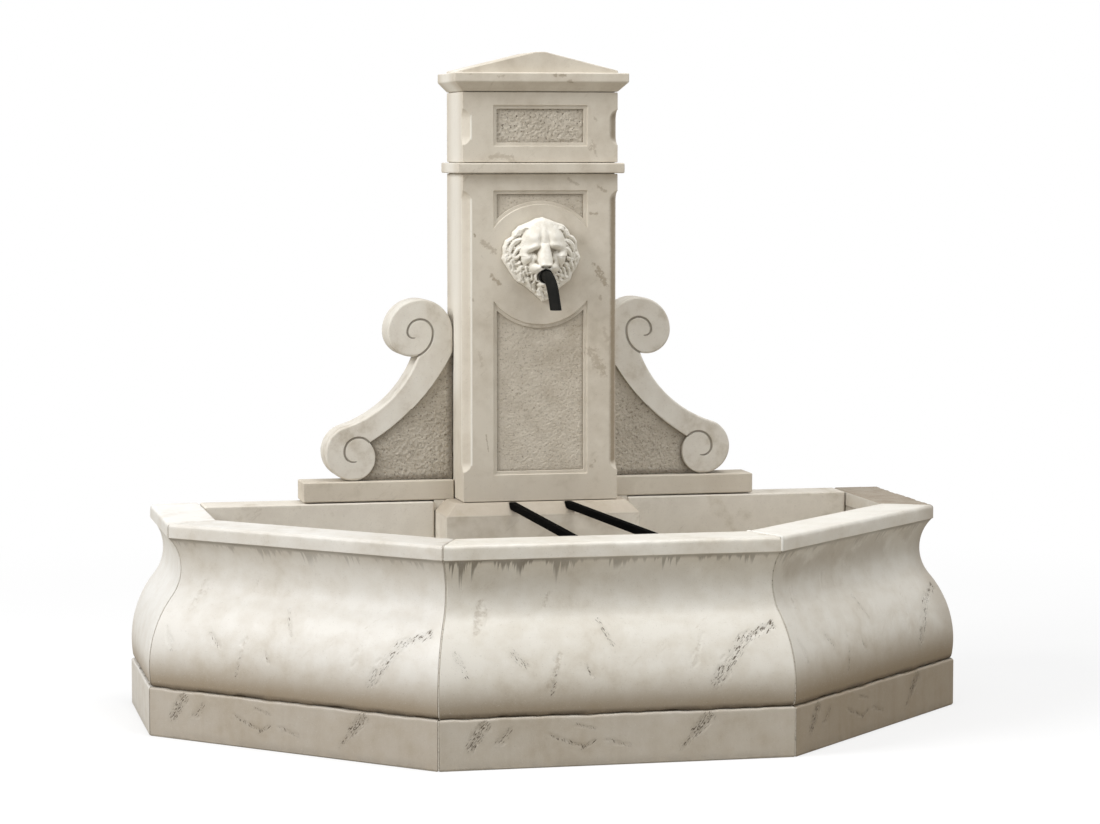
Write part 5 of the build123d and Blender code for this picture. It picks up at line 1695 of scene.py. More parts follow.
@dataclass
class Pillar:
    """Shaft, band, frieze and cornice of the pillar.

    Attributes:
        half: Half of the shaft's width.
        front: Face of the shaft.
        back: Face towards the wall.
        foot: Bottom of the shaft.
        head: Top of the shaft.
        band: Bottom and top of the band course.
        band_out: How far the band stands out.
        frieze: Bottom and top of the frieze block.
        cornice: Bottom of the cornice, bottom and top of its fascia.
        cornice_out: How far the fascia stands out.
        gable_half: Half of the gable's width.
        eave: Height of the gable's ends.
        ridge: Height of its crown.
        crown: Half of the crown's width.
        panel_half: Half of a sunk panel's width.
        panel: Bottom and top of the shaft's sunk panel.
        frieze_panel: Bottom and top of the frieze's sunk panel.
        step: Width of the moulding round a sunk panel.
        sinks: Depth of the moulding and of the field.
        disc_z: Height of the disc's middle.
        disc: Radius of the disc.
        leg: Leg of the stopped chamfers.
        scoop: Radius of the chamfers' scooped ends.
        shaft_chamfer: Lower and upper end of the shaft's chamfers.
        frieze_chamfer: Lower and upper end of the frieze's chamfers.
        chase: Half width, front and top of the chase in the back.
        spout: Height and radius of the hole for the spout.
        edge: Rounding of the edges.
    """

    half: float = 0.225
    front: float = 0.357
    back: float = 0.600
    foot: float = 0.584
    head: float = 1.516
    band: Point2 = (1.518, 1.547)
    band_out: float = 0.017
    frieze: Point2 = (1.549, 1.747)
    cornice: Point3 = (1.749, 1.776, 1.801)
    cornice_out: float = 0.027
    gable_half: float = 0.226
    eave: float = 1.809
    ridge: float = 1.861
    crown: float = 0.014
    panel_half: float = 0.136
    panel: Point2 = (0.660, 1.469)
    frieze_panel: Point2 = (1.595, 1.710)
    step: float = 0.010
    sinks: Point2 = (0.005, 0.013)
    disc_z: float = 1.259
    disc: float = 0.171
    leg: float = 0.024
    scoop: float = 0.032
    shaft_chamfer: Point2 = (0.664, 1.472)
    frieze_chamfer: Point2 = (1.593, 1.703)
    chase: Point3 = (0.055, 0.425, 1.288)
    spout: Point2 = (1.228, 0.0205)
    edge: float = 0.0022

    def chamfer(self, side: int, span: Point2) -> bpy.types.Object:
        """Tool for a stopped chamfer on a front corner.

        Args:
            side: -1 for the left corner, 1 for the right.
            span: Its lower and upper end.

        Returns:
            The tool.
        """
        lean = 1 / math.sqrt(2)
        out = Vector((side * lean, -lean, 0.0))
        along = Vector((lean, side * lean, 0.0))
        origin = Vector((side * (self.half - self.leg / 2), self.front + self.leg / 2, 0.0))
        low, high = (span[0] + self.scoop, span[1] - self.scoop)
        outline = [(0.0, low), (0.0, high)]
        outline += arc_points((self.scoop, high), (0.0, high), (self.scoop, span[1]), 0.002)
        outline += [(2 * self.scoop, span[1]), (2 * self.scoop, span[0]), (self.scoop, span[0])]
        outline += arc_points((self.scoop, low), (self.scoop, span[0]), (0.0, low), 0.002)[:-1]
        reach = along * self.leg * 2
        points = [tuple(origin + out * u + Vector((0.0, 0.0, z)) - reach) for u, z in outline]
        return extrude_face(trace_outline("chamfer_tool", points), tuple(reach * 2))

    def sunk_tool(self, span: Point2, inset: float, sink: float, disc: bool) -> bpy.types.Object:
        """Tool for one step of a sunk panel.

        Args:
            span: The panel's bottom and top.
            inset: How far this step lies inside the panel's edge.
            sink: Its depth.
            disc: Whether the disc stays standing.

        Returns:
            The tool.
        """
        half = self.panel_half - inset
        tool = add_block(
            "panel_tool", (-half, self.front - 0.02, span[0] + inset), (half, self.front + sink, span[1] - inset)
        )
        if disc:
            start, end = (0.0, self.front - 0.05, self.disc_z), (0.0, self.front + 0.05, self.disc_z)
            cut(tool, add_rod("disc_tool", self.disc + inset, start, end, 160))
        return tool

    def stone(self, name: str, span: Point2, panel: Point2, chamfer: Point2, disc: bool) -> bpy.types.Object:
        """A block with a sunk panel and stopped chamfers.

        Args:
            name: The block's name.
            span: Its bottom and top.
            panel: Bottom and top of its sunk panel.
            chamfer: Lower and upper end of its chamfers.
            disc: Whether a disc stands in the panel.

        Returns:
            The block.
        """
        obj = add_block(name, (-self.half, self.front, span[0]), (self.half, self.back, span[1]))
        for inset, sink in zip((0.0, self.step), self.sinks):
            cut(obj, self.sunk_tool(panel, inset, sink, disc))
        for side in (-1, 1):
            cut(obj, self.chamfer(side, chamfer))
        return obj

    def shaft(self, finishes: Finishes) -> None:
        """Makes the shaft with its chase and its tooled field."""
        obj = self.stone("pillar_shaft", (self.foot, self.head), self.panel, self.shaft_chamfer, True)
        chase_half, chase_front, chase_top = self.chase
        cut(obj, add_block(
            "chase_tool", (-chase_half, chase_front, self.foot - 0.01), (chase_half, self.back + 0.01, chase_top)
        ))
        spout_z, spout_radius = self.spout
        cut(obj, add_rod("spout_tool", spout_radius, (0, self.front - 0.01, spout_z), (0, chase_front + 0.01, spout_z)))
        ease_edges(obj, self.edge)
        hand_over(obj, finishes.pillar, "cast_stone", "shaft", flat=True)

        def outside_disc(x: float, z: float) -> bool:
            """Keeps the ground round the disc, with a little under the disc's edge."""
            return math.hypot(x, z - self.disc_z) > self.disc + self.step - 0.008

        self.field("shaft_ground", self.panel, outside_disc, RoughField(relief=0.0018, grain=0.0062), finishes.tooled)

    def field(
        self, name: str, panel: Point2, keep: Callable[[float, float], bool], rough: RoughField, stone: bpy.types.Material
    ) -> None:
        """Lays a tooled field into a sunk panel.

        Args:
            name: The field's name.
            panel: Bottom and top of the panel.
            keep: Tells which cells are kept.
            rough: How it is tooled.
            stone: Its finish.
        """
        inset = self.step - 0.001
        half = self.panel_half - inset
        ground = self.front + self.sinks[1]
        obj = rough.sheet(name, (-half, half), (panel[0] + inset, panel[1] - inset), ground, keep)
        hand_over(obj, stone, "cast_stone", angle=180.0)

    def courses(self, finishes: Finishes) -> None:
        """Makes the band, the frieze and the cornice."""
        out = self.half + self.band_out
        band = add_block("pillar_band", (-out, self.front - self.band_out, self.band[0]), (out, self.back, self.band[1]))
        ease_edges(band, 0.004, 3)
        hand_over(band, finishes.pillar, "cast_stone", "band_course", flat=True)
        frieze = self.stone("pillar_frieze", self.frieze, self.frieze_panel, self.frieze_chamfer, False)
        ease_edges(frieze, self.edge)
        hand_over(frieze, finishes.pillar, "cast_stone", "frieze_block", flat=True)
        self.field("frieze_ground", self.frieze_panel, lambda x, z: True, RoughField(), finishes.pitted)
        self.cap(finishes)

    def cap(self, finishes: Finishes) -> None:
        """Makes the cornice: bed mould, fascia and gable from one face, by extruding and scaling."""
        low, fascia, top = self.cornice
        deselect_all()
        depth = self.back - self.front
        middle = (0.0, self.back - depth / 2, low)
        bpy.ops.mesh.primitive_plane_add(size=1, location=middle)
        bpy.ops.transform.resize(value=(2 * self.half, depth, 1.0), center_override=middle)
        obj = named("pillar_cornice")
        wide = 1 + self.cornice_out / self.half
        deep = 1 + self.cornice_out / depth
        wall = (0.0, self.back, 0.0)
        with editing(obj):
            bpy.ops.mesh.extrude_region_move(TRANSFORM_OT_translate={"value": (0.0, 0.0, fascia - low)})
            bpy.ops.transform.resize(value=(wide, deep, 1.0), center_override=wall)
            bpy.ops.mesh.extrude_region_move(TRANSFORM_OT_translate={"value": (0.0, 0.0, top - fascia)})
            bpy.ops.mesh.extrude_region_move(TRANSFORM_OT_translate={"value": (0.0, 0.0, 0.0)})
            shrink = (self.gable_half / self.half / wide, 1 / deep, 1.0)
            bpy.ops.transform.resize(value=shrink, center_override=wall)
            bpy.ops.mesh.extrude_region_move(TRANSFORM_OT_translate={"value": (0.0, 0.0, self.eave - top)})
            bpy.ops.mesh.extrude_region_move(TRANSFORM_OT_translate={"value": (0.0, 0.0, self.ridge - self.eave)})
            bpy.ops.transform.resize(value=(self.crown / self.gable_half, 1.0, 1.0), center_override=wall)
            bpy.ops.mesh.select_all(action="SELECT")
            bpy.ops.mesh.normals_make_consistent(inside=False)
        ease_edges(obj, 0.003, 3, 12.0)
        hand_over(obj, finishes.pillar, "cast_stone", "cornice_cap", angle=30.0, flat=True)

    def build(self, finishes: Finishes) -> None:
        """Makes the pillar's stones."""
        self.shaft(finishes)
        self.courses(finishes)


# Brackets


@dataclass
class Brackets:
    """Scroll brackets on long bases, left and right of the pillar.

    Attributes:
        side: Inner side of a bracket, from the middle.
        foot: Bottom of a bracket.
        front: Its face.
        back: Face towards the wall.
        sink: Depth of the field.
        upper: Radius of the upper scroll.
        upper_rise: Height of its middle over the foot.
        curl: Radius of the curl under it.
        curl_turn: How far the curl turns, in degrees.
        band: Width of the upper scroll's band.
        eye: Radius of the upper groove's end.
        lower: Radius of the lower scroll.
        lower_reach: Its middle from the inner side.
        lower_curl: Radius of the lower scroll's inner turn.
        lower_band: Width of the lower scroll's band.
        lower_eye: Radius of the lower groove's end.
        eye_turn: How far the grooves' ends turn, in degrees.
        lower_bow: Bow of the lower groove.
        throat_turn: Where the field's upper edge meets the lower scroll, in degrees.
        stem_join: Where the stem meets the lower scroll, in degrees.
        stem_bow: Bow of the stem's outer edge.
        inner_drop: From the upper scroll's middle to the field's top.
        inner_bow: Bow of the stem's inner edge.
        groove: Radius of the grooves.
        edge: Rounding of the outer edges.
        band_edge: Rounding of the bands' edges along the field.
        base: End, depth, bottom and top of the bases.
        base_edge: Rounding of the bases.
        step: Length of an outline's steps.
    """

    side: float = 0.228
    foot: float = 0.638
    front: float = 0.498
    back: float = 0.600
    sink: float = 0.014
    upper: float = 0.095
    upper_rise: float = 0.424
    curl: float = 0.070
    curl_turn: float = 106.0
    band: float = 0.058
    eye: float = 0.017
    lower: float = 0.079
    lower_reach: float = 0.292
    lower_curl: float = 0.065
    lower_band: float = 0.055
    lower_eye: float = 0.026
    eye_turn: float = 110.0
    lower_bow: float = 0.029
    throat_turn: float = 42.0
    stem_join: float = 68.0
    stem_bow: float = 0.035
    inner_drop: float = 0.010
    inner_bow: float = 0.033
    groove: float = 0.0043
    edge: float = 0.0065
    band_edge: float = 0.0030
    base: tuple[float, float, float, float] = (0.666, 0.485, 0.579, 0.636)
    base_edge: float = 0.004
    step: float = 0.006

    def centres(self) -> tuple[Point2, Point2, Point2, Point2]:
        """Middles of the upper scroll, its curl, the lower scroll and its inner turn.

        Returns:
            Four points on X and Z.
        """
        upper = (self.side + self.upper, self.foot + self.upper_rise)
        curl = (upper[0] + self.upper - self.curl, upper[1])
        lower = (self.side + self.lower_reach, self.foot + self.lower)
        return upper, curl, lower, (lower[0], self.foot + self.lower_curl)

    def nip(self) -> Point2:
        """Where the curl meets the stem."""
        return circle_point(self.centres()[1], self.curl, -self.curl_turn)

    def throat(self) -> Point2:
        """Where the stem's inner edge meets the lower scroll."""
        return circle_point(self.centres()[3], self.lower_curl, 180 - self.throat_turn)

    def outline(self) -> list[Point2]:
        """Outline of a bracket's face.

        Returns:
            Points on X and Z.
        """
        upper, curl, lower, _ = self.centres()
        left, right = (self.side, upper[1]), (upper[0] + self.upper, upper[1])
        crown = (upper[0], upper[1] + self.upper)
        join = circle_point(lower, self.lower, self.stem_join)
        toe = (lower[0], self.foot)
        heel = circle_point(lower, self.lower, (self.stem_join - 90) / 2)
        points = [(self.side, self.foot), left]
        points += arc_points(upper, left, crown, self.step) + arc_points(upper, crown, right, self.step)
        points += arc_points(curl, right, self.nip(), self.step)
        points += bowed_points(self.nip(), join, self.stem_bow, self.step)
        return points + arc_points(lower, join, heel, self.step) + arc_points(lower, heel, toe, self.step)

    def field_outline(self, grow: float) -> list[Point2]:
        """Outline of the sunk field.

        Args:
            grow: How far it runs past the bracket's own straight sides.

        Returns:
            Points on X and Z.
        """
        upper, _, _, centre = self.centres()
        head = (self.side - grow, upper[1] - self.inner_drop)
        throat = self.throat()
        flank = circle_point(centre, self.lower_curl, 200.0)
        heel = (centre[0], self.foot)
        points = [(self.side - grow, self.foot - grow), head]
        points += bowed_points(head, throat, self.inner_bow, self.step)
        points += arc_points(centre, throat, flank, self.step)
        points += arc_points(centre, flank, heel, self.step)[:-2]
        return points + [(points[-1][0] - grow, self.foot - grow)]

    def grooves(self) -> list[list[Point2]]:
        """Lines of the two grooves that wind into the scrolls.

        Returns:
            Two lists of points on X and Z.
        """
        upper, _, lower, _ = self.centres()
        inner = self.upper - self.band
        nip, left = self.nip(), (upper[0] - inner, upper[1])
        crown, right = (upper[0], upper[1] + inner), (upper[0] + inner, upper[1])
        first = [nip] + bowed_points(nip, left, -inner / 3, self.step)
        first += arc_points(upper, left, crown, self.step) + arc_points(upper, crown, right, self.step)
        first += self.eye_points(right, self.eye)
        turn = (lower[0] + self.lower - self.lower_band, lower[1])
        second = [self.throat()] + bowed_points(self.throat(), turn, -self.lower_bow, self.step)
        return [first, second + self.eye_points(turn, self.lower_eye)]

    def eye_points(self, start: Point2, radius: float) -> list[Point2]:
        """End of a groove, turning down and in to the scroll's eye."""
        centre = (start[0] - radius, start[1])
        half = circle_point(centre, radius, -self.eye_turn / 2)
        end = circle_point(centre, radius, -self.eye_turn)
        return arc_points(centre, start, half, self.step / 2) + arc_points(centre, half, end, self.step / 2)

    def groove_tool(self, points: Sequence[Point2]) -> bpy.types.Object:
        """Round tool along a groove's line, spun and bridged from ring to ring.

        Args:
            points: The line on X and Z.

        Returns:
            The tool.
        """
        deselect_all()
        bpy.ops.mesh.primitive_circle_add(vertices=12, radius=self.groove)
        obj = named("groove_tool")
        ring = [v.co.copy() for v in obj.data.vertices]
        shell = bmesh.new()
        loops = []
        for index, (x, z) in enumerate(points):
            before, after = points[max(index - 1, 0)], points[min(index + 1, len(points) - 1)]
            way = Vector((after[0] - before[0], 0.0, after[1] - before[1])).normalized()
            across = Vector((0.0, 1.0, 0.0)).cross(way)
            taper = 0.55 + 0.45 * min(1.0, (len(points) - 1 - index) / 8)
            middle = Vector((x, self.front - 0.0005, z))
            loops.append([
                shell.verts.new(middle + (across * c.x + Vector((0.0, c.y, 0.0))) * taper) for c in ring
            ])
        for here, there in zip(loops, loops[1:]):
            for a in range(len(ring)):
                b = (a + 1) % len(ring)
                shell.faces.new((here[a], here[b], there[b], there[a]))
        shell.faces.new(loops[0])
        shell.faces.new(loops[-1])
        bmesh.ops.recalc_face_normals(shell, faces=shell.faces)
        shell.to_mesh(obj.data)
        shell.free()
        return obj

    def right_bracket(self) -> bpy.types.Object:
        """The right-hand bracket with its sunk field and grooves.

        Returns:
            The bracket.
        """
        face = trace_outline("right_scroll", [(x, self.front, z) for x, z in self.outline()])
        obj = extrude_face(face, (0.0, self.back - self.front, 0.0))
        self.round_front(obj, self.edge, lambda x, z: True)
        tool = trace_outline("field_tool", [(x, self.front - 0.02, z) for x, z in self.field_outline(0.02)])
        cut(obj, extrude_face(tool, (0.0, 0.02 + self.sink, 0.0)))
        line = self.field_outline(0.0)[1:-1]
        self.round_front(obj, self.band_edge, lambda x, z: min(math.dist((x, z), p) for p in line) < self.step)
        for line in self.grooves():
            cut(obj, self.groove_tool(line))
        # Marks the grooves' bottoms for painted shade and grime in the grooves.
        points = mesh_points(obj)
        bottom = points[:, 1] > self.front + 0.4 * self.groove
        deep = np.zeros(len(points), np.float32)
        for x, z in (spot for line in self.grooves() for spot in line):
            deep[bottom & (np.hypot(points[:, 0] - x, points[:, 2] - z) < self.groove)] = 1.0
        layer = obj.data.attributes.new("crease_shade", "FLOAT", "POINT")
        layer.data.foreach_set("value", deep)
        return obj

    def round_front(self, obj: bpy.types.Object, width: float, test: Callable[[float, float], bool]) -> None:
        """Rounds edges that lie in the front face and bound it.

        Args:
            obj: The bracket.
            width: Width of the rounding.
            test: Tells from x and z whether an edge is rounded.
        """
        with editing(obj):
            pick(obj, Pick.EDGE, lambda middle, way: (
                abs(middle.y - self.front) < 1e-5 and abs(way.y) < 1e-3 and test(middle.x, middle.z)
            ))
            bpy.ops.mesh.bevel(offset=width, segments=4, affect="EDGES", clamp_overlap=False)

    def right_ground(self) -> bpy.types.Object:
        """Tooled field of the right-hand bracket.

        Returns:
            The field.
        """
        upper, _, lower, centre = self.centres()
        throat = Vector(self.throat())
        head = Vector((self.side, upper[1] - self.inner_drop))
        chord = throat - head
        radius = (chord.length ** 2 / 4 + self.inner_bow ** 2) / (2 * self.inner_bow)
        right = Vector((chord.y, -chord.x)).normalized()
        middle = head + chord / 2 + right * (self.inner_bow - radius)
        band = 0.006

        def within(x: float, z: float) -> bool:
            """Keeps the field and a little under the bands' edges."""
            under_stem = math.dist((x, z), middle) > radius - band
            off_scroll = math.dist((x, z), centre) > self.lower_curl - band
            return under_stem and off_scroll and x < lower[0] and z < upper[1] - self.inner_drop + band

        spans = (self.side + 0.001, lower[0]), (self.foot + 0.0005, head.y + band)
        return RoughField(tuck=band, seam=0.013).sheet("right_scroll_ground", *spans, self.front + self.sink, within)

    def build(self, finishes: Finishes) -> None:
        """Makes both brackets and their bases."""
        flip = Matrix.Scale(-1.0, 4, (1.0, 0.0, 0.0))
        right = self.right_bracket()
        ground = self.right_ground()
        left = place(duplicate(right, "left_scroll"), flip)
        left_ground = place(duplicate(ground, "left_scroll_ground"), flip)
        for obj, node in ((right, "right_bracket"), (left, "left_bracket")):
            hand_over(obj, finishes.scroll, "cast_stone", node, flat=True)
        for obj in (ground, left_ground):
            hand_over(obj, finishes.scroll_ground, "cast_stone", angle=180.0)
        end, face, low, high = self.base
        for name, side in (("left", -1), ("right", 1)):
            low_x, high_x = sorted((side * self.side, side * end))
            obj = add_block(f"{name}_scroll_base", (low_x, face, low), (high_x, self.back, high))
            ease_edges(obj, self.base_edge, 3)
            hand_over(obj, finishes.pillar, "cast_stone", f"{name}_bracket_base", flat=True)


# Mask


@dataclass(frozen=True)
class Lock:
    """One lock of the mane, thick at its root and thin at its tip.

    Attributes:
        line: Places from root to tip, in millimetres from the mask's middle.
        wide: Half of its width at the root.
        thin: Half of its width at the tip.
        high: Height of its crest over the wall.
    """

    line: tuple[Point2, Point2, Point2, Point2]
    wide: float
    thin: float
    high: float

    def path(self, count: int = 40) -> np.ndarray:
        """Smooth line through the four places.

        Args:
            count: Number of points.

        Returns:
            Rows of x and z.
        """
        a, b, c, d = (np.array(p) for p in self.line)
        t = np.linspace(0.0, 3.0, count)[:, None]
        weights = [np.ones_like(t) for _ in range(4)]
        for i in range(4):
            for j in range(4):
                if i != j:
                    weights[i] = weights[i] * (t - j) / (i - j)
        return weights[0] * a + weights[1] * b + weights[2] * c + weights[3] * d

    def height(self, x: np.ndarray, z: np.ndarray) -> np.ndarray:
        """Height of the lock over each point of a grid.

        Args:
            x: The points' places across.
            z: Their heights from the mask's middle.

        Returns:
            Heights, below zero off the lock.
        """
        path = self.path()
        low, high = path.min(axis=0) - self.wide, path.max(axis=0) + self.wide
        close = (x > low[0]) & (x < high[0]) & (z > low[1]) & (z < high[1])
        result = np.full(x.shape, -50.0)
        x, z = x[close], z[close]
        best = np.full(x.shape, 1e9)
        share = np.zeros(x.shape)
        side = np.zeros(x.shape)
        for i, (here, there) in enumerate(zip(path, path[1:])):
            way = there - here
            long = float(way @ way)
            t = np.clip(((x - here[0]) * way[0] + (z - here[1]) * way[1]) / long, 0.0, 1.0)
            off_x, off_z = x - here[0] - t * way[0], z - here[1] - t * way[1]
            gap = np.hypot(off_x, off_z)
            near = gap < best
            best = np.where(near, gap, best)
            share = np.where(near, (i + t) / (len(path) - 1), share)
            side = np.where(near, np.sign(way[0] * off_z - way[1] * off_x) * gap, side)
        swell = 0.75 + 0.25 * np.sin(np.clip(share * 1.6, 0.0, 1.0) * math.pi)
        half = (self.wide + (self.thin - self.wide) * share ** 1.5) * swell
        across = best / half
        crest = np.clip(1.0 - across ** 2, 0.0, 1.0) ** 0.6
        strands = np.abs(np.sin(side / half * 3.4 + share * 2.6 + self.wide)) * 2.3 * crest
        fall = 1.0 - 0.38 * share ** 2
        result[close] = np.where(across < 1.0, self.high * fall * (0.52 + 0.48 * crest) - strands, -50.0)
        return result


@dataclass
class LionMask:
    """Lion's head with a thick mane, in cream stone.

    Attributes:
        z: Height of its middle.
        wall_y: Face of the disc that it is set on.
        root: How far its back is let into the disc.
        cell: Length of the mesh's cells.
        reach: Half of the grid's width and height in millimetres.
        mouth: Height and radius of the mouth, in millimetres.
    """

    z: float = 1.274
    wall_y: float = 0.357
    root: float = 0.003
    cell: float = 0.0011
    reach: float = 125.0
    mouth: Point2 = (-46.0, 18.5)

    SILHOUETTE = (
        (2, 121), (23, 114), (43, 106), (65, 99), (78, 85), (83, 71), (94, 67), (103, 53), (105, 31), (111, 16),
        (115, 5), (108, -14), (101, -30), (90, -44), (85, -60), (69, -71), (51, -85), (34, -102), (17, -117),
        (3, -121), (-8, -111), (-22, -98), (-47, -77), (-67, -66), (-78, -56), (-94, -32), (-107, -12), (-115, 3),
        (-112, 17), (-113, 35), (-105, 55), (-88, 66), (-84, 79), (-67, 95), (-43, 105), (-18, 117),
    )
    RINGS = (
        (0.86, 1.01, 30, 8.2, 25.0, 1.0),
        (0.74, 0.92, 28, 8.4, 32.0, 1.0),
        (0.62, 0.81, 24, 8.6, 38.0, 1.0),
        (0.50, 0.70, 10, 8.0, 44.0, 0.40),
    )
    CROWN = (
        Lock(((-30, 96), (-46, 101), (-70, 92), (-79, 70)), 14, 8, 35),
        Lock(((-48, 78), (-68, 80), (-84, 68), (-88, 48)), 13, 7, 36),
        Lock(((32, 95), (50, 99), (70, 86), (78, 66)), 14, 8, 34),
        Lock(((50, 74), (72, 76), (88, 62), (92, 42)), 13, 7, 34),
        Lock(((-30, 80), (-48, 90), (-62, 82), (-68, 62)), 9, 5, 44),
        Lock(((32, 80), (50, 88), (62, 78), (66, 58)), 9, 5, 43),
        Lock(((-64, 72), (-93, 62), (-106, 38), (-103, 10)), 12, 7, 32),
        Lock(((-60, 57), (-82, 47), (-93, 25), (-89, -4)), 10, 6, 37),
        Lock(((-61, 36), (-75, 27), (-83, 8), (-78, -18)), 9, 5, 40),
        Lock(((66, 68), (93, 58), (104, 34), (102, 8)), 12, 7, 32),
        Lock(((62, 54), (83, 44), (92, 22), (87, -6)), 10, 6, 37),
        Lock(((62, 34), (76, 25), (83, 6), (77, -20)), 9, 5, 40),
    )

    def locks(self) -> list[Lock]:
        """Locks of the mane: rings of curls, the beard and the larger locks over the brow.

        Returns:
            The locks, from the outermost in.
        """
        outline = np.array(self.SILHOUETTE, float)
        angles = np.arctan2(outline[:, 1], outline[:, 0])
        order = np.argsort(angles)
        radii = np.hypot(outline[:, 0], outline[:, 1])
        dice = random.Random(5)
        found = []
        for root, tip, count, wide, high, part in self.RINGS:
            for index in range(count):
                along = (index + 0.5 + dice.uniform(-0.28, 0.28)) / count - 0.5
                turn = -math.pi / 2 + 2 * math.pi * along * part
                fall = -math.copysign(1.0, math.cos(turn)) * min(1.0, abs(math.cos(turn)) * 2.0)
                curl = math.radians(dice.uniform(4.0, 17.0)) * fall + math.radians(dice.uniform(-6.0, 6.0))
                hook = math.radians(dice.uniform(-9.0, 9.0))
                line = []
                for share, swing in ((0.0, 0.0), (0.35, 0.25), (0.7, 0.75), (1.0, 1.0)):
                    angle = turn + curl * swing + hook * math.sin(share * math.pi * 2) * 0.5
                    reach = float(np.interp(angle, angles[order], radii[order], period=2 * math.pi))
                    out = reach * (root + (tip - root) * share)
                    line.append((out * math.cos(angle), out * math.sin(angle)))
                size = dice.uniform(0.8, 1.2)
                found.append(Lock(tuple(line), wide * size, wide * size * 0.5, high + dice.uniform(-2.5, 2.5)))
        return found + list(self.CROWN)

    @staticmethod
    def bump(x: np.ndarray, z: np.ndarray, spot: Point2, size: Point2, tilt: float = 0.0) -> np.ndarray:
        """Round swelling.

        Args:
            x: Places across, in millimetres.
            z: Heights.
            spot: Its middle.
            size: Its reach along and across.
            tilt: Turn in degrees.

        Returns:
            Shares from 0 to 1.
        """
        turn = math.radians(tilt)
        off_x, off_z = x - spot[0], z - spot[1]
        along = off_x * math.cos(turn) + off_z * math.sin(turn)
        across = off_z * math.cos(turn) - off_x * math.sin(turn)
        return np.exp(-(along / size[0]) ** 2 - (across / size[1]) ** 2)

    @staticmethod
    def blend(first: np.ndarray, second: np.ndarray, soft: float) -> np.ndarray:
        """Larger of two heights with a soft seam."""
        seam = np.clip(0.5 + 0.5 * (first - second) / soft, 0.0, 1.0)
        return second + (first - second) * seam + soft * seam * (1.0 - seam) * 0.5

    def inside(self, x: np.ndarray, z: np.ndarray) -> np.ndarray:
        """Distance of each point to the silhouette, above zero inside it."""
        points = np.array(self.SILHOUETTE, float)
        nearest = np.full(x.shape, 1e9)
        within = np.zeros(x.shape, bool)
        for a, b in zip(points, np.roll(points, -1, axis=0)):
            way = b - a
            t = np.clip(((x - a[0]) * way[0] + (z - a[1]) * way[1]) / float(way @ way), 0.0, 1.0)
            nearest = np.minimum(nearest, np.hypot(x - a[0] - t * way[0], z - a[1] - t * way[1]))
            crosses = (a[1] > z) != (b[1] > z)
            run = a[0] + (z - a[1]) / (way[1] if way[1] else 1e-9) * way[0]
            within ^= crosses & (x < run)
        return np.where(within, nearest, -nearest)

    def face(self, x: np.ndarray, z: np.ndarray) -> np.ndarray:
        """Heights of the face: brow, eyes, nose, muzzle and chin.

        Args:
            x: Places across, in millimetres.
            z: Heights from the mask's middle.

        Returns:
            Heights over the wall.
        """
        side = np.abs(x)
        wide, long = np.where(z > 10.0, 71.0, 66.0), np.where(z > 10.0, 112.0, 60.0)
        dome = np.clip(1.0 - (x / wide) ** 2 - ((z - 10.0) / long) ** 2, 0.0, 1.0)
        height = np.where(dome > 0, 26.0 + 34.0 * np.sqrt(dome), -50.0)
        height += 9.0 * self.bump(side, z, (30, 62), (22, 22), 8)
        height += 4.0 * self.bump(x, z, (0, 62), (6, 26))
        height -= 4.0 * self.bump(side, z, (13, 56), (4.5, 20), 8)
        level = z - 0.08 * x
        height += 9.0 * self.bump(side, level, (33, 38), (22, 8.5), -13)
        height -= 20.0 * self.bump(side, level, (31, 24), (16, 7.5), -13)
        height += 9.0 * self.bump(side, level, (33, 22.5), (8.0, 5.2), -6)
        height += 3.0 * self.bump(side, level, (33, 28.5), (11.0, 2.2), -6)
        height -= 4.0 * self.bump(side, level, (33, 22.5), (2.6, 1.8))
        height -= 6.0 * self.bump(side, z, (22, 15), (3.4, 10.0), -30)
        height += 11.0 * self.bump(side, z, (52, 6), (15, 15))
        height -= 5.0 * self.bump(side, z, (50, -16), (13, 7), 30)
        bridge_half = 14.5 + np.clip((42.0 - z) / 40.0, 0.0, 1.0) * 5.0
        bridge_top = 66.0 + np.clip((48.0 - z) / 66.0, 0.0, 1.0) ** 0.9 * 24.0
        bridge = bridge_top - 15.0 * np.clip(side / bridge_half, 0.0, 3.0) ** 3.4
        bridge -= 34.0 * np.clip((-13.0 - z) / 12.0, 0.0, 2.0) ** 2.0 + 34.0 * np.clip((z - 44.0) / 16.0, 0.0, 2.0)
        height = self.blend(height, bridge, 8.0)
        muzzle = 80.0 * self.bump(side, z, (15, -21), (25, 18)) ** 0.5
        height = self.blend(height, np.where(muzzle > 30, muzzle, -50.0), 9.0)
        height += 4.0 * self.bump(side, z, (13.5, -15), (6.5, 5.5))
        height -= 12.0 * self.bump(side, z, (9.5, -20.0), (4.4, 2.8), 20)
        height -= 5.0 * self.bump(x, z, (0, -26), (2.2, 5))
        height -= 5.0 * self.bump(side, z, (23, -8), (3.0, 9.0), -38)
        chin = 52.0 * self.bump(x, z, (0, -70), (17, 9)) ** 0.6
        height = self.blend(height, np.where(chin > 26, chin, -50.0), 6.0)
        fold = self.bump(side, z, (43, -8), (4.0, 20), 26)
        return height - 6.0 * fold

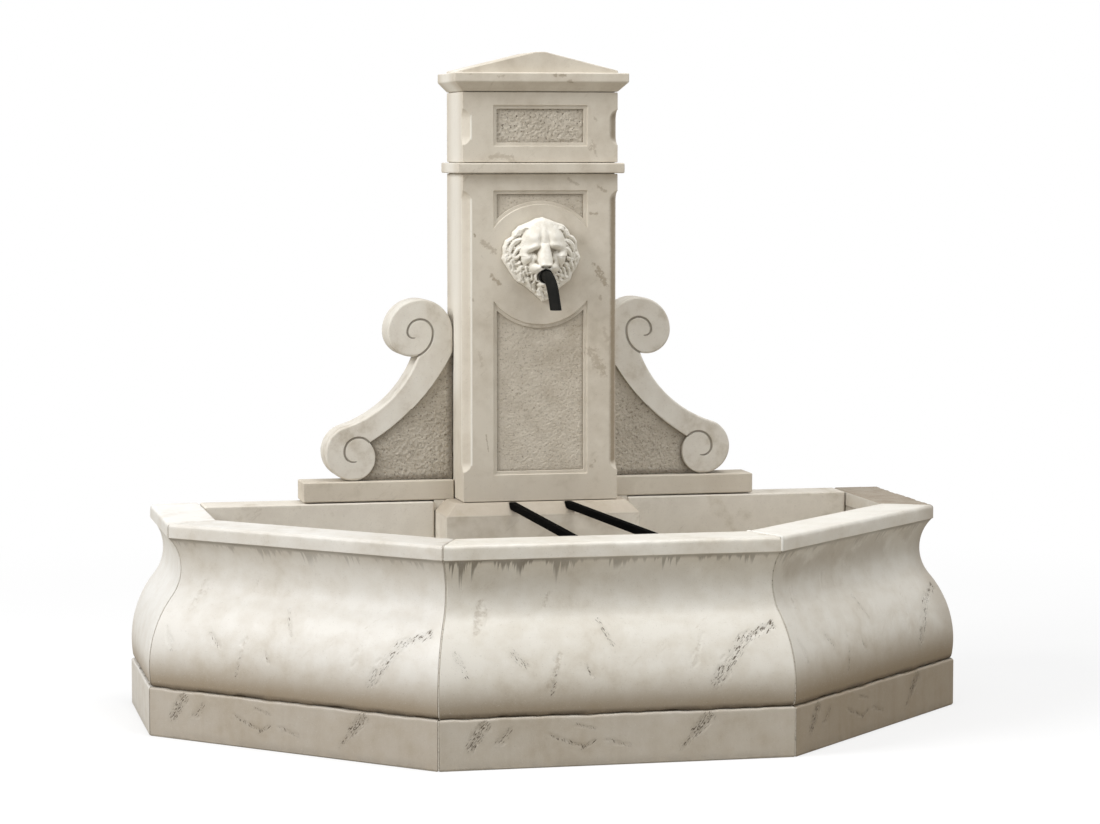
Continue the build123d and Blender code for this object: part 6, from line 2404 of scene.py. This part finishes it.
    def relief(self, x: np.ndarray, z: np.ndarray) -> np.ndarray:
        """Heights of the whole mask.

        Args:
            x: Places across, in millimetres.
            z: Heights from the mask's middle.

        Returns:
            Heights over the wall.
        """
        mane = np.full(x.shape, -50.0)
        for lock in self.locks():
            mane = self.blend(mane, lock.height(x, z), 2.2)
        gap = self.inside(x, z)
        ground = 16.0 + 9.0 * np.clip(gap / 30.0, 0.0, 1.0) + 17.0 * self.bump(x, z, (0, 104), (42, 26))
        height = self.blend(self.blend(mane, ground, 3.0), self.face(x, z), 4.0)
        mouth_z, mouth_radius = self.mouth
        hole = np.hypot(x, z - mouth_z)
        lip = 5.0 * np.exp(-((hole - mouth_radius - 3.0) / 3.5) ** 2) * (height > 30)
        height = height + lip
        height = np.where(hole < mouth_radius + 2.0, height + (40.0 - height) * np.clip(
            (mouth_radius + 2.0 - hole) / 3.5, 0.0, 1.0), height)
        edge = np.clip(gap / 8.0, 0.0, 1.0)
        hair = np.clip((54.0 - height) / 12.0, 0.0, 1.0)
        rough = 0.5 * np.sin(x * 0.9 + z * 0.4) * np.sin(z * 0.8 - x * 0.3)
        rough += hair * np.sin(x * 0.62 + 2.2 * np.sin(z * 0.21)) * np.sin(z * 0.58 + 2.0 * np.sin(x * 0.19))
        return np.where(gap > 0, (height + rough) * np.sqrt(edge * (2.0 - edge)), -1000.0 * self.root)

    @staticmethod
    def blur(height: np.ndarray, cells: float) -> np.ndarray:
        """Heights averaged over their neighbourhood."""
        reach = int(cells * 3)
        weights = np.exp(-0.5 * (np.arange(-reach, reach + 1) / cells) ** 2)
        weights /= weights.sum()
        for axis in (0, 1):
            padded = np.apply_along_axis(lambda row: np.pad(row, reach, mode="edge"), axis, height)
            height = np.apply_along_axis(lambda row: np.convolve(row, weights, mode="valid"), axis, padded)
        return height

    def build(self, finishes: Finishes) -> None:
        """Makes the mask from a fine grid whose points are pulled out of the wall.

        Args:
            finishes: The fountain's finishes.
        """
        deselect_all()
        count = round(2 * self.reach / 1000 / self.cell)
        middle = (0.0, self.wall_y, self.z)
        bpy.ops.mesh.primitive_grid_add(
            x_subdivisions=count, y_subdivisions=count, size=2 * self.reach / 1000,
            location=middle, rotation=(math.radians(90), 0.0, 0.0),
        )
        obj = named("lion_head")
        points = mesh_points(obj)
        x, z = points[:, 0] * 1000, (points[:, 2] - self.z) * 1000
        height = self.relief(x, z)
        rows = round(math.sqrt(len(points)))
        field_now = self.blur(height.reshape(rows, rows), 0.7)
        carve = field_now - self.blur(field_now, 4.0)
        points[:, 1] = self.wall_y - field_now.ravel() / 1000
        set_points(obj, points)
        # How far each point stands out of its surroundings, for the painted shade in the hollows and the painted
        # highlights on the crests.
        layer = obj.data.attributes.new("carve", "FLOAT", "POINT")
        layer.data.foreach_set("value", np.clip(0.5 + carve.ravel() / 10.0, 0.0, 1.0).astype(np.float32))
        with editing(obj):
            buried = self.wall_y + 0.9 * self.root
            pick(obj, Pick.FACE, lambda centre, normal: centre.y > buried)
            bpy.ops.mesh.delete(type="FACE")
            pick(obj, Pick.FACE, lambda centre, normal: True)
            bpy.ops.mesh.region_to_loop()
            bpy.ops.mesh.extrude_edges_move(TRANSFORM_OT_translate={"value": (0.0, 0.002, 0.0)})
            bpy.ops.mesh.edge_face_add()
        hand_over(obj, finishes.cream, "mask_stone", "lion_mask", angle=60.0)


# Stage


@dataclass
class Studio:
    """Floor, lights and camera.

    Attributes:
        eye: The camera's place.
        yaw: Its turn about the upright axis, in radians.
        pitch: Its tilt, in radians.
        lens: Focal length in millimetres.
        sky: Strength of the light from all round.
        top: Place, size and power of the light from above.
        key: Place, size and power of the light from the left.
        fill: Place, size and power of the weak light from the front.
        floor_bounce: Colour that the floor has for light that bounces off it.
        floor_glow: Share of plain white in the floor as it is seen.
    """

    eye: Point3 = (-1.9488, -8.6011, 1.5944)
    yaw: float = -0.2171
    pitch: float = -0.0823
    lens: float = 105.44
    sky: float = 0.425
    top: tuple[Point3, float, float] = ((1.5, -1.7, 9.2), 5.0, 468.0)
    key: tuple[Point3, float, float] = ((-7.2, -1.8, 5.2), 3.5, 495.0)
    fill: tuple[Point3, float, float] = ((3.4, -8.0, 1.2), 4.0, 100.0)
    floor_bounce: Colour = (0.36, 0.33, 0.28)
    floor_glow: float = 0.60

    def camera(self) -> None:
        """Sets the camera up at the photograph's angle."""
        data = bpy.data.cameras.new("view")
        data.lens = self.lens
        data.sensor_width = 36.0
        data.clip_end = 200.0
        obj = bpy.data.objects.new("view", data)
        obj.location = self.eye
        obj.rotation_euler = (math.pi / 2 + self.pitch, 0.0, self.yaw)
        bpy.context.scene.collection.objects.link(obj)
        bpy.context.scene.camera = obj

    def lamp(self, name: str, spot: Point3, size: float, power: float) -> None:
        """Adds a soft square lamp that points at the fountain.

        Args:
            name: The lamp's name.
            spot: Its place.
            size: Its side.
            power: Its power in watts.
        """
        data = bpy.data.lights.new(name, "AREA")
        data.shape = "SQUARE"
        data.size = size
        data.energy = power
        obj = bpy.data.objects.new(name, data)
        obj.location = spot
        way = Vector((0.0, 0.1, 0.7)) - Vector(spot)
        obj.rotation_euler = way.to_track_quat("-Z", "Y").to_euler()
        bpy.context.scene.collection.objects.link(obj)

    def world(self) -> None:
        """Even white surroundings, seen as plain white and lighting more softly."""
        world = bpy.data.worlds.new("surroundings")
        bpy.context.scene.world = world
        world.use_nodes = True
        nodes, links = world.node_tree.nodes, world.node_tree.links
        background = nodes["Background"]
        background.inputs["Color"].default_value = (1.0, 1.0, 1.0, 1.0)
        path = nodes.new("ShaderNodeLightPath")
        seen = nodes.new("ShaderNodeMath")
        seen.operation = "MAXIMUM"
        links.new(path.outputs["Is Camera Ray"], seen.inputs[0])
        links.new(path.outputs["Is Glossy Ray"], seen.inputs[1])
        through = nodes.new("ShaderNodeMath")
        through.operation = "MAXIMUM"
        links.new(seen.outputs[0], through.inputs[0])
        links.new(path.outputs["Is Transmission Ray"], through.inputs[1])
        level = nodes.new("ShaderNodeMapRange")
        links.new(through.outputs[0], level.inputs[0])
        level.inputs[3].default_value = self.sky
        level.inputs[4].default_value = 1.0
        links.new(level.outputs[0], background.inputs["Strength"])

    def floor(self) -> None:
        """A wide pale floor that fades into the white surroundings."""
        deselect_all()
        bpy.ops.mesh.primitive_plane_add(size=60.0, location=(0.0, 0.0, -0.0005))
        obj = named("floor")
        graph = Graph("floor")
        seen = graph.node("ShaderNodeLightPath", output="Is Camera Ray")
        colour = graph.blend(seen, self.floor_bounce, (0.90, 0.90, 0.90))
        graph.set(Base_Color=colour, Roughness=0.9, Specular_IOR_Level=0.1)
        glow = graph.node("ShaderNodeEmission", None, {"Color": (1.0, 1.0, 1.0), "Strength": 1.0})
        lit = Value(graph, graph.shader.outputs[0])
        spread = graph.node("ShaderNodeVectorMath", {"operation": "LENGTH"}, {0: graph.object_place()}, "Value")
        share = self.floor_glow + spread.ramp(1.6, 4.5) * (1.0 - self.floor_glow)
        mixed = graph.node("ShaderNodeMixShader", None, {0: seen * share, 1: lit, 2: glow})
        output = next(n for n in graph.nodes if n.type == "OUTPUT_MATERIAL")
        graph.links.new(mixed.socket, output.inputs["Surface"])
        obj.data.materials.append(graph.material)

    def build(self) -> None:
        """Sets the stage up."""
        scene = bpy.context.scene
        scene.view_settings.view_transform = "Standard"
        self.world()
        self.floor()
        self.lamp("top", *self.top)
        self.lamp("key", *self.key)
        self.lamp("fill", *self.fill)
        self.camera()


def dress_frame(finishes: Finishes) -> None:
    """Gives every node of the frame its finish.

    Args:
        finishes: The fountain's finishes.
    """
    for part in frame["record"]["subparts"]:
        obj = frame["nodes"][part["node"]]
        obj.data.materials.clear()
        obj.data.materials.append(finishes.by_slot[part["material_slot"]])


def main() -> None:
    """Builds the fountain's pieces in order and sets the stage."""
    logging.basicConfig(level=logging.INFO, format="%(name)s %(message)s")
    finishes = Finishes()
    dress_frame(finishes)
    for assembly in (BasinPanels(), BackPanels(), PedestalBlock(), BucketBars(), Pillar(), Brackets(), LionMask()):
        LOG.info("building %s", type(assembly).__name__)
        assembly.build(finishes)
    Studio().build()


if __name__ == "__main__":
    main()
